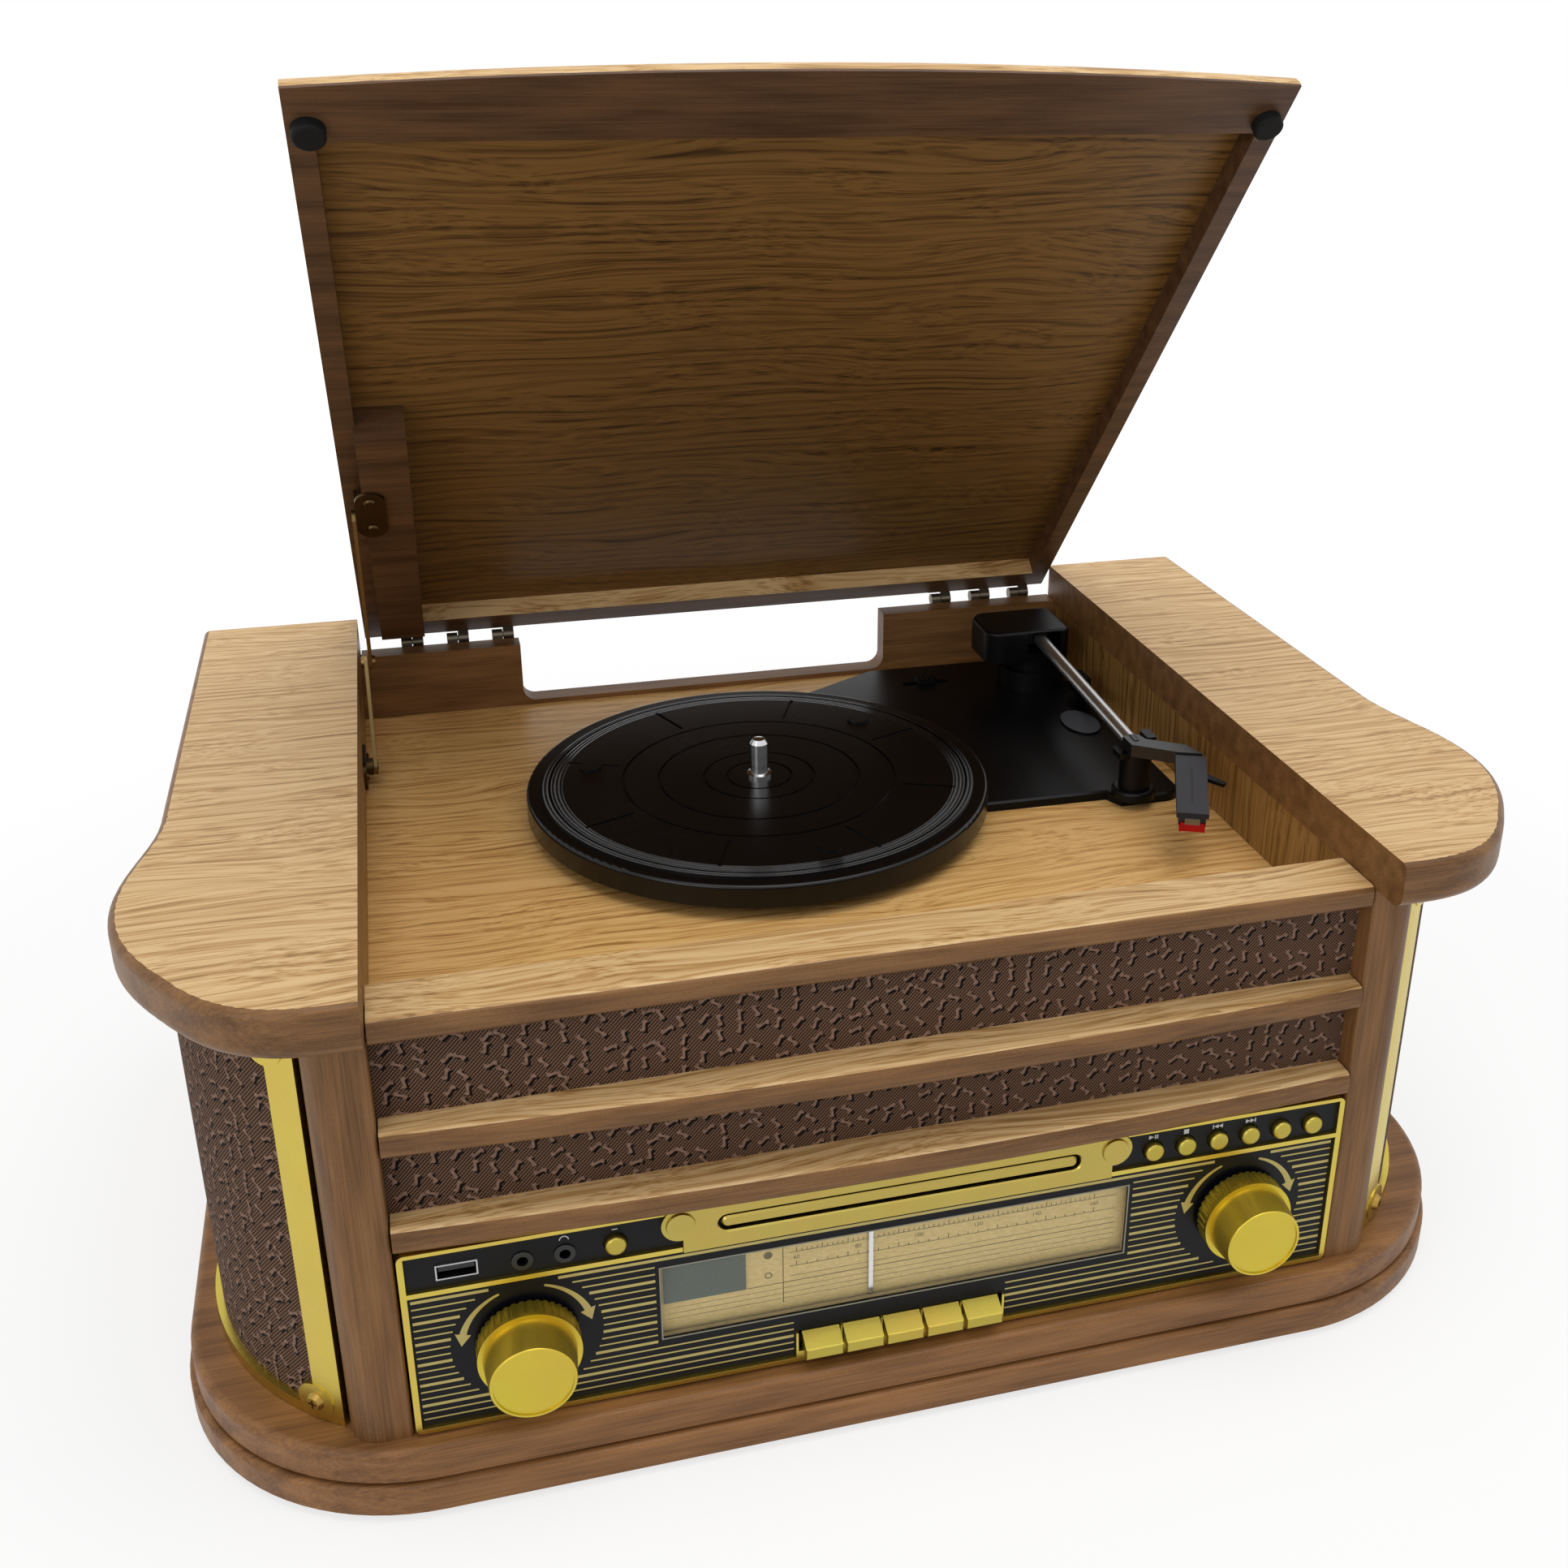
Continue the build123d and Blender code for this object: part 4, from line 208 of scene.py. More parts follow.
def uneven_sheen(look, place, code, share, scale, detail, low, high):
    """A hex colour made a little uneven by a share of a noise, and a roughness from low to high by the same noise."""
    values = {"Vector": place, "Scale": scale, "Detail": detail}
    grain = add_node(look, "ShaderNodeTexNoise", values)
    tone = blend_colours(look, share, linear(code), grain.outputs["Color"], "OVERLAY")
    return tone, spread(look, grain.outputs["Fac"], low, high)


def raise_surface(look, shader, height, depth_mm, strength):
    """Join a height pattern to the shader as a bump of a depth in millimetres."""
    values = {"Height": height, "Strength": strength, "Distance": depth_mm * MM}
    bump = add_node(look, "ShaderNodeBump", values)
    set_inputs(look, shader, {"Normal": bump.outputs[0]})


def cleared(owner):
    """Give a material or the world an empty node tree."""
    owner.use_nodes = True
    owner.node_tree.nodes.clear()
    return owner


def start_material(name):
    """Make a material with its shader and output joined."""
    look = cleared(bpy.data.materials.new(name))
    shader = add_node(look, "ShaderNodeBsdfPrincipled")
    add_node(look, "ShaderNodeOutputMaterial", {"Surface": shader.outputs["BSDF"]})
    place = add_node(look, "ShaderNodeTexCoord").outputs["Object"]
    return look, shader, place


def oak_colours(look, place, turn, codes):
    """Colour and pore pattern of oak veneer with its grain along the turned X direction.

    Growth lines stand about 5 mm apart and bow by up to 26 mm, gathered in zones 6 mm wide and 130 mm long. Long
    brown streaks 1 mm wide run between them. The pores keep their real width of 0.25 mm and only show close up."""
    dark, middle, light = codes
    along = scaled(look, place, (1, 1, 1), turn)
    drift = noise(look, scaled(look, along, (1.8, 6, 6)), 1.0, output="Color")
    stretched = scaled(look, along, (0.10, 1, 1))
    bent = vector(look, "MULTIPLY_ADD", drift, (0, 0.026, 0.026), stretched)
    growth = waves(look, bent, 60.0, "Y", Distortion=3.0, Detail=2.0, Detail_Scale=0.5, Detail_Roughness=0.5)
    lines = calculate(look, "POWER", growth, 2.2)
    zone = noise(look, scaled(look, along, (1.5, 32, 32)), 2.0)
    gathered = spread(look, zone, 0.12, 1.0, 0.38, 0.62)
    streak = noise(look, scaled(look, bent, (9, 230, 230)), 2.0)
    streaks = spread(look, streak, 0.0, 1.0, 0.48, 0.64)
    soft = calculate(look, "MULTIPLY", both(look, lines, gathered), 0.60)
    total = calculate(look, "MULTIPLY_ADD", streaks, 0.56, soft)
    base = ramp(look, total, [(0.0, light), (0.45, middle), (1.0, dark)])
    pore = noise(look, scaled(look, along, (2.6, 850, 850)), 2.0)
    pores = spread(look, pore, 0.0, 0.26, 0.54, 0.68)
    return blend_colours(look, pores, base, linear(dark)), pores


def stain_colours(look, place, codes, turn):
    """Colour of stained beech: streaks 0.7 mm wide over bands of stain, 6 mm wide and 50 mm long."""
    dark, light = codes
    cloud = noise(look, scaled(look, place, (4, 32, 32), turn), 3.0)
    grain = noise(look, scaled(look, place, (6, 300, 300), turn), 2.0)
    speck = noise(look, scaled(look, place, (260, 800, 800), turn), 1.0)
    first = calculate(look, "MULTIPLY_ADD", grain, 0.7, cloud)
    total = calculate(look, "MULTIPLY_ADD", speck, 0.35, first)
    tone = spread(look, total, 0.0, 1.0, 0.72, 1.33)
    return ramp(look, tone, [(0.1, dark), (0.9, light)])


def veneered_wood(name, wood, turn=(0, 0, 0), oak_mask=None, codes=None, edge_codes=None, outer_mask=None):
    """Oak veneer faces with walnut-stained edges under a satin lacquer; the outer mask shows natural oak.

    The lacquer gives a soft broad sheen; the open pores break it along the grain."""
    look, shader, place = start_material(name)
    colour, pores = oak_colours(look, place, turn, codes or wood.oak_codes())
    if oak_mask is not None:
        edge = stain_colours(look, place, edge_codes or wood.stain_codes(), turn)
        mask = oak_mask(look, place)
        colour = blend_colours(look, mask, edge, colour)
        pores = both(look, pores, mask)
    if outer_mask is not None:
        natural = oak_colours(look, place, turn, wood.oak_codes())[0]
        colour = blend_colours(look, outer_mask(look, place), colour, natural)
    rough = spread(look, pores, 0.42, 0.58, 0.0, 0.26)
    set_inputs(look, shader, {"Base Color": colour, "Roughness": rough, "Specular IOR Level": 0.3})
    raise_surface(look, shader, calculate(look, "SUBTRACT", 1.0, pores), 0.10, 0.4)
    return look


def stained_wood(name, wood, turn=(0, 0, 0), codes=None):
    """Walnut-stained beech with a satin lacquer: brown with soft streaks and a low sheen."""
    look, shader, place = start_material(name)
    colour = stain_colours(look, place, codes or wood.stain_codes(), turn)
    set_inputs(look, shader, {"Base Color": colour, "Roughness": 0.46, "Specular IOR Level": 0.3})
    raise_surface(look, shader, noise(look, place, 3.0, 700.0), 0.10, 0.35)
    return look


def cloth_curl(look, offset):
    """One inside a small S-shaped curl, 4 mm long and 1.5 mm wide, about the middle of its cell."""
    wave, half_length, core, edge = 4.6 * MM, 1.25 * MM, 0.60 * MM, 0.88 * MM
    parts = add_node(look, "ShaderNodeSeparateXYZ", {0: offset})
    phase = calculate(look, "MULTIPLY", parts.outputs["X"], math.tau / wave)
    swing = calculate(look, "SINE", phase)
    across = calculate(look, "MULTIPLY_ADD", swing, -1.0 * MM, parts.outputs["Y"])
    length = calculate(look, "ABSOLUTE", parts.outputs["X"])
    end = calculate(look, "SUBTRACT", length, half_length)
    over = calculate(look, "MAXIMUM", end, 0.0)
    corner = add_node(look, "ShaderNodeCombineXYZ", {"X": over, "Y": across}).outputs[0]
    return spread(look, vector(look, "LENGTH", corner), 1.0, 0.0, core, edge)


def woven_cloth(name):
    """Jacquard-woven polyester speaker cloth: raised curls, one in each 6 mm, over a diagonal twill.

    The twill threads are 0.95 mm apart, drawn coarser than the real 0.5 mm so that they show. Matte, because the
    twisted threads scatter the light; each curl has a painted shadow, a near-black copy of it shifted to its lower
    right."""
    look, shader, _ = start_material(name)
    place = add_node(look, "ShaderNodeAttribute", attribute_name=CLOTH_PLACE).outputs["Vector"]
    values = {"Vector": place, "Scale": 165.0, "Randomness": 0.55}
    cells = add_node(look, "ShaderNodeTexVoronoi", values, voronoi_dimensions="2D")
    offset = vector(look, "SUBTRACT", place, cells.outputs["Position"])
    chance = add_node(look, "ShaderNodeSeparateColor", {0: cells.outputs["Color"]}).outputs["Red"]
    angle = spread(look, chance, -2.0, 0.6)
    curls = []
    # The second, shifted copy of each curl is its painted shadow, drawn near black to the lower right.
    for shift in ((0.0, 0.0, 0.0), (0.80 * MM, -0.75 * MM, 0.0)):
        shifted = vector(look, "SUBTRACT", offset, shift)
        values = {"Vector": shifted, "Angle": angle}
        turned = add_node(look, "ShaderNodeVectorRotate", values, rotation_type="Z_AXIS")
        curls.append(cloth_curl(look, turned.outputs[0]))
    raised, shadow = curls
    slanted = scaled(look, place, (1, 1, 1), (0, 0, 42))
    twill = waves(look, slanted, 330.0, "X")
    crossing = waves(look, slanted, 330.0, "Y")
    weave = calculate(look, "MULTIPLY_ADD", crossing, 0.35, twill)
    uneven = noise(look, place, 2.0, 600.0)
    ground = ramp(look, weave, [(0.25, "#170e09"), (1.0, "#775a48")])
    crown = ramp(look, uneven, [(0.3, "#785b4b"), (0.7, "#987a6b")])
    # Painted shadow: the shifted curl darkens the twill to near black.
    ground_with_painted_shadow = blend_colours(look, shadow, ground, linear("#060302"))
    colour = blend_colours(look, raised, ground_with_painted_shadow, crown)
    set_inputs(look, shader, {"Base Color": colour, "Roughness": 0.9, "Specular IOR Level": 0.2})
    woven = calculate(look, "MULTIPLY_ADD", weave, 0.25, raised)
    raise_surface(look, shader, woven, 0.35, 0.7)
    return look


def gilt_metal(name, code, roughness=0.28, brushed=(60, 60, 1500)):
    """Gold-lacquered pressed aluminium: a yellow sheen broken by draw lines 0.13 mm wide, 0.4 mm on spun knobs."""
    look, shader, place = start_material(name)
    draw = noise(look, scaled(look, place, brushed), 3.0)
    patches = noise(look, place, 3.0, 60.0, "Color")
    tone = blend_colours(look, 0.10, linear(code), patches, "OVERLAY")
    rough = spread(look, draw, roughness - 0.06, roughness + 0.08)
    set_inputs(look, shader, {"Base Color": tone, "Metallic": 1.0, "Roughness": rough})
    raise_surface(look, shader, draw, 0.02, 0.25)
    return look


def plain_metal(name, code, roughness, grit=500.0):
    """Plated or drawn metal: a faint grit, 2 to 4 mm, keeps its sheen from looking like a mirror."""
    look, shader, place = start_material(name)
    tone, rough = uneven_sheen(look, place, code, 0.12, grit, 4.0, roughness - 0.05, roughness + 0.10)
    set_inputs(look, shader, {"Base Color": tone, "Metallic": 1.0, "Roughness": rough})
    return look


def moulded_plastic(name, code, roughness, texture_mm=0.6, depth_mm=0.03, second=None, mask=None):
    """Moulded ABS: an even body colour under the fine spark texture of its mould, with a soft uneven gloss."""
    look, shader, place = start_material(name)
    spark = noise(look, place, 3.0, 1.0 / (texture_mm * MM))
    tone, rough = uneven_sheen(look, place, code, 0.10, 22.0, 4.0, roughness - 0.07, roughness + 0.09)
    if mask is not None:
        tone = blend_colours(look, mask(look, place), tone, linear(second))
    set_inputs(look, shader, {"Base Color": tone, "Roughness": rough, "Specular IOR Level": 0.18})
    raise_surface(look, shader, spark, depth_mm, 0.5)
    return look


def ribbed_platter(name):
    """Moulded black ABS with fine ridges, 1.5 mm apart, near the rim, which catch the light as bright arcs."""
    ridge_step, ridges_start, ridges_end = 1.5 * MM, 78.0 * MM, 86.0 * MM
    look, shader, place = start_material(name)
    moved = vector(look, "SUBTRACT", place, (PLATTER_X * MM, PLATTER_Y * MM, 0.0))
    reach = vector(look, "LENGTH", vector(look, "MULTIPLY", moved, (1, 1, 0)))
    phase = calculate(look, "MULTIPLY", reach, math.tau / ridge_step)
    ridge = calculate(look, "SINE", phase)
    outer = calculate(look, "GREATER_THAN", reach, ridges_start)
    inner = calculate(look, "LESS_THAN", reach, ridges_end)
    ridges = both(look, both(look, outer, inner), ridge)
    tone, rough = uneven_sheen(look, place, "#060607", 0.10, 22.0, 4.0, 0.20, 0.32)
    set_inputs(look, shader, {"Base Color": tone, "Roughness": rough, "Specular IOR Level": 0.32})
    raise_surface(look, shader, ridges, 0.45, 0.9)
    return look


def two_finish(name, inner, outer, mask):
    """Plastic in one place and bright metal in another, as on a socket or a drawer front."""
    look, shader, place = start_material(name)
    chosen = mask(look, place)
    colour = blend_colours(look, chosen, linear(inner), linear(outer))
    rough = spread(look, noise(look, place, 3.0, 800.0), 0.26, 0.42)
    set_inputs(look, shader, {"Base Color": colour, "Metallic": chosen, "Roughness": rough})
    return look


def clear_pane(name):
    """Clear cast acrylic: no colour of its own, a sharp reflection and a few fine wipe marks."""
    look, shader, place = start_material(name)
    rough = spread(look, noise(look, scaled(look, place, (40, 40, 700)), 3.0), 0.02, 0.07)
    clear = {"Base Color": linear("#ffffff"), "Transmission Weight": 1.0, "IOR": 1.2, "Roughness": rough}
    set_inputs(look, shader, clear)
    return look


def dial_print(name):
    """Cream printed card: level fibres 0.4 mm high make its matte face a little uneven under the pane."""
    look, shader, place = start_material(name)
    fibre = noise(look, scaled(look, place, (120, 120, 500)), 4.0)
    tone = ramp(look, fibre, [(0.3, "#c3aa6c"), (0.7, "#d6bf83")])
    set_inputs(look, shader, {"Base Color": tone, "Roughness": 0.6})
    return look


def display_glass(name):
    """Unlit liquid-crystal display: a grey-green layer under smooth glass with a faint cell grid of 0.8 mm."""
    look, shader, place = start_material(name)
    tone = ramp(look, waves(look, place, 390.0, "Z"), [(0.0, "#485246"), (1.0, "#515b50")])
    set_inputs(look, shader, {"Base Color": tone, "Roughness": 0.12})
    return look


def printed_ink(name, code, roughness, metallic=0.0):
    """Screen-printed ink or foil: an even colour with a slightly uneven sheen."""
    look, shader, place = start_material(name)
    tone, rough = uneven_sheen(look, place, code, 0.12, 300.0, 2.0, roughness - 0.05, roughness + 0.05)
    set_inputs(look, shader, {"Base Color": tone, "Metallic": metallic, "Roughness": rough})
    return look


def circuit_board(name):
    """Green solder-masked glass fibre board: lighter tinned tracks part its darker fields."""
    look, shader, place = start_material(name)
    values = {"Vector": place, "Scale": 60.0, "Mortar Size": 0.03}
    values |= {"Color1": linear("#1f5a33"), "Color2": linear("#245f39"), "Mortar": linear("#2f7a49")}
    tracks = add_node(look, "ShaderNodeTexBrick", values)
    set_inputs(look, shader, {"Base Color": tracks.outputs["Color"], "Roughness": 0.35})
    return look


def finish(names, material):
    """Give one or more CAD nodes their material."""
    for node in names.split():
        slots = NODES[node].material_slots
        if not slots:
            NODES[node].data.materials.append(material)
        for entry in slots:
            entry.material = material


def put(name, data):
    """Put an object of the data into the scene."""
    thing = bpy.data.objects.new(name, data)
    bpy.context.scene.collection.objects.link(thing)
    return thing


def put_shape(name, shape, material):
    """Put an object of a bmesh and one material into the scene."""
    mesh = bpy.data.meshes.new(name)
    shape.to_mesh(mesh)
    shape.free()
    mesh.materials.append(material)
    return put(name, mesh)


def new_piece(name, shape, material, body):
    """Make a piece from a bmesh, with its material and body."""
    piece = put_shape(name, shape, material)
    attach(piece, body)
    return piece


def flat_shape(target, points, depth):
    """Add a flat face to the bmesh from (x, z) points at a depth y, all in millimetres, facing the front."""
    corners = [target.verts.new((x * MM, depth * MM, z * MM)) for x, z in points]
    face = target.faces.new(corners)
    face.normal_update()
    if face.normal.y > 0:
        face.normal_flip()


def flat_bar(target, left, right, low, high, depth):
    """Add an upright rectangle that faces the front."""
    flat_shape(target, [(left, low), (right, low), (right, high), (left, high)], depth)


def ring_span(target, centre, inner, outer, start, end, depth, steps=24, widen=0.0):
    """Add a flat curved band; widen grows its width by that many millimetres towards its end."""
    rows = []
    for step in range(steps + 1):
        share = step / steps
        angle = math.radians(start + (end - start) * share)
        grow = widen * share / 2
        reaches = (inner - grow, outer + grow)
        rows.append([(centre[0] + r * math.cos(angle), centre[1] + r * math.sin(angle)) for r in reaches])
    for first, second in zip(rows, rows[1:]):
        flat_shape(target, [first[0], first[1], second[1], second[0]], depth)


def cloth_grid(target, point_at, turned=False):
    """Add a grid of cloth to the bmesh; point_at gives a point and its place on the cloth for two shares."""
    rows, places = [], []
    for j in range(CLOTH_UP + 1):
        row = []
        for i in range(CLOTH_ACROSS + 1):
            point, place = point_at(i / CLOTH_ACROSS, j / CLOTH_UP)
            row.append(target.verts.new(point))
            places.append(place)
        rows.append(row)
    for lower_row, upper_row in zip(rows, rows[1:]):
        for i in range(CLOTH_ACROSS):
            corners = [lower_row[i], lower_row[i + 1], upper_row[i + 1], upper_row[i]]
            target.faces.new(corners[::-1] if turned else corners)
    return places


def lay_out(piece, places):
    """Keep each point's place on the flat cloth, which its weave is drawn by."""
    layer = piece.data.attributes.new(CLOTH_PLACE, "FLOAT_VECTOR", "POINT")
    layer.data.foreach_set("vector", [value for place in places for value in place])


def background_rays(look):
    """One for the rays that see the backdrop directly, in a mirror or through glass; zero for those that light."""
    path = add_node(look, "ShaderNodeLightPath").outputs
    first = either(look, path["Is Camera Ray"], path["Is Glossy Ray"])
    return either(look, first, path["Is Transmission Ray"])


class WoodSettings(bpy.types.PropertyGroup):
    """Colours of the cabinet's woods."""

    oak_dark: bpy.props.FloatVectorProperty(
        name="Oak pores", description="Darkest colour of the oak veneer", subtype="COLOR", size=4,
        default=linear("#96703f"), min=0, max=1,
    )
    oak_middle: bpy.props.FloatVectorProperty(
        name="Oak figure", description="Middle colour of the oak veneer", subtype="COLOR", size=4,
        default=linear("#c49a63"), min=0, max=1,
    )
    oak_light: bpy.props.FloatVectorProperty(
        name="Oak ground", description="Lightest colour of the oak veneer", subtype="COLOR", size=4,
        default=linear("#dfbc88"), min=0, max=1,
    )
    stain_dark: bpy.props.FloatVectorProperty(
        name="Stain dark", description="Darker colour of the stained edges", subtype="COLOR", size=4,
        default=linear("#614122"), min=0, max=1,
    )
    stain_light: bpy.props.FloatVectorProperty(
        name="Stain light", description="Lighter colour of the stained edges", subtype="COLOR", size=4,
        default=linear("#8d643b"), min=0, max=1,
    )

    def oak_codes(self):
        """Hex colours of the oak, from dark to light."""
        return [hexcode(colour) for colour in (self.oak_dark, self.oak_middle, self.oak_light)]

    def stain_codes(self):
        """Hex colours of the stain, from dark to light."""
        return [hexcode(colour) for colour in (self.stain_dark, self.stain_light)]


class PanelSettings(bpy.types.PropertyGroup):
    """Sizes and colours of the control panel."""

    gilt: bpy.props.FloatVectorProperty(
        name="Gilt", description="Colour of the gold-lacquered trim", subtype="COLOR", size=4,
        default=linear("#cfb957"), min=0, max=1,
    )
    line_pitch: bpy.props.FloatProperty(
        name="Line pitch", description="Distance between the printed lines", subtype="DISTANCE", unit="LENGTH",
        default=2.83 * MM, min=0.001, max=0.01,
    )
    thick_line: bpy.props.FloatProperty(
        name="Thick line", description="Height of every third line", subtype="DISTANCE", unit="LENGTH",
        default=1.15 * MM, min=0.0002, max=0.003,
    )
    thin_line: bpy.props.FloatProperty(
        name="Thin line", description="Height of the lines between", subtype="DISTANCE", unit="LENGTH",
        default=0.6 * MM, min=0.0002, max=0.003,
    )


class StageSettings(bpy.types.PropertyGroup):
    """Light and camera of the picture."""

    lens: bpy.props.FloatProperty(
        name="Lens", description="Focal length on a 36 mm sensor", unit="CAMERA", default=39.18, min=10, max=200
    )
    key_power: bpy.props.FloatProperty(
        name="Key lamp", description="Power of the large overhead lamp", unit="POWER", default=16.0, min=0, max=500
    )


class MUSIC_OT_cabinet(bpy.types.Operator):
    """Finish the plinth, boards, posts, rails, sill and caps in their woods"""

    bl_idname = "music.cabinet"
    bl_label = "Cabinet Woods"

    def execute(self, context):
        wood = context.scene.music_wood
        up = (0, 0, 1)
        cap_top, sill_top, upper_rail_top, lower_rail_low, lower_rail_top = 201.9, 185.5, 146.3, 110.3, 112

        def rail_tops(look, place):
            upper = beyond(look, place, up, upper_rail_top)
            lower = between(look, place, up, lower_rail_low, lower_rail_top)
            return either(look, upper, lower)

        for node, mask in (("caps", limit_mask(up, cap_top)), ("sill", limit_mask(up, sill_top)), ("rails", rail_tops)):
            finish(node, veneered_wood(f"Oak veneer with stained edge, {node}", wood, oak_mask=mask))
        # Honey oak for the well floor, lightened beyond its own tone: painted light against the shade under the lid and
        # caps.
        honey_oak_with_painted_light = ("#a0713a", "#d9a560", "#efc17c")
        finish("deck_board", veneered_wood("Oak veneer, satin lacquer", wood, codes=honey_oak_with_painted_light))
        # Oak darkened well below the caps' veneer: painted shade on the well's inner walls.
        brown = ("#63441c", "#8a6432", "#a37c45")
        finish("well_walls", veneered_wood("Oak veneer, upright grain, darkened as painted shade", wood, (0, 90, 0), codes=brown))
        finish("front_board back_panel", stained_wood("Walnut-stained beech, satin lacquer", wood))
        finish("side_panels", stained_wood("Walnut-stained beech, side boards", wood, (0, 0, 90)))
        plinth = ("#6c4828", "#9d6e42")
        finish("base", stained_wood("Walnut-stained beech, plinth", wood, codes=plinth))
        finish("posts", stained_wood("Walnut-stained beech, upright grain", wood, (0, 90, 0)))
        finish("feet", moulded_plastic("Moulded rubber, matte", "#161514", 0.75, 0.8, 0.05))
        return {"FINISHED"}


class MUSIC_OT_cloth(bpy.types.Operator):
    """Stretch the speaker cloth over the front board and over the two curved grilles"""

    bl_idname = "music.cloth"
    bl_label = "Speaker Cloth"

    def execute(self, context):
        cloth = woven_cloth("Woven polyester speaker cloth")
        low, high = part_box("front_cloth")

        def front_point(across, up):
            x = low.x + (high.x - low.x) * across
            z = low.z + (high.z - low.z) * up
            return (x, low.y, z), (x, z, 0.0)

        sheet = bmesh.new()
        places = cloth_grid(sheet, front_point)
        front = new_piece("front_cloth_sheet", sheet, cloth, "cabinet")
        lay_out(front, places)
        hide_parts("front_cloth")

        low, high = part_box("grille_cloths")
        radius = GRILLE_RADIUS * MM
        start, end = math.radians(GRILLE_START), math.radians(GRILLE_END)
        curved = bmesh.new()
        places = []
        for side in (1, -1):

            def side_point(across, up):
                angle = start + (end - start) * across
                x = side * (GRILLE_X * MM + radius * math.cos(angle))
                y = GRILLE_Y * MM + radius * math.sin(angle)
                z = low.z + (high.z - low.z) * up
                return (x, y, z), (side * (0.5 + radius * angle), z, 0.0)

            places += cloth_grid(curved, side_point, turned=side < 0)
        for face in curved.faces:
            face.smooth = True
        sides = new_piece("grille_cloth_sheets", curved, cloth, "cabinet")
        lay_out(sides, places)
        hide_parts("grille_cloths")
        return {"FINISHED"}


class MUSIC_OT_trim(bpy.types.Operator):
    """Finish the gold frames, the screws, the keys, the buttons and the knobs"""

    bl_idname = "music.trim"
    bl_label = "Gilt Trim"

    def execute(self, context):
        gilt_code = hexcode(context.scene.music_panel.gilt)
        drawer_code = "#b6a255"
        drawer_front = 149.4
        finish("grille_frames panel_frame", gilt_metal("Aluminium, gold lacquer", gilt_code))
        finish("cd_plate", gilt_metal("Aluminium, gold lacquer, drawer plate", drawer_code))
        knob = gilt_metal("Metallised ABS, gold, spun", "#ccb646", 0.36, (500, 90, 500))
        finish("volume_knob tuning_knob", knob)
        keys = [node for node in sorted(NODES) if node.startswith(("key_", "cd_button_"))]
        finish(" ".join(keys + ["record_button"]), gilt_metal("Metallised ABS, gold, key", "#b5a34a", 0.36))
        finish("grille_screws", plain_metal("Steel screw, brassed", "#a98a45", 0.34))
        front = limit_mask((0, -1, 0), drawer_front)
        finish("cd_tray", two_finish("Drawer, gold front and black tray", "#0d0d0e", drawer_code, front))
        return {"FINISHED"}


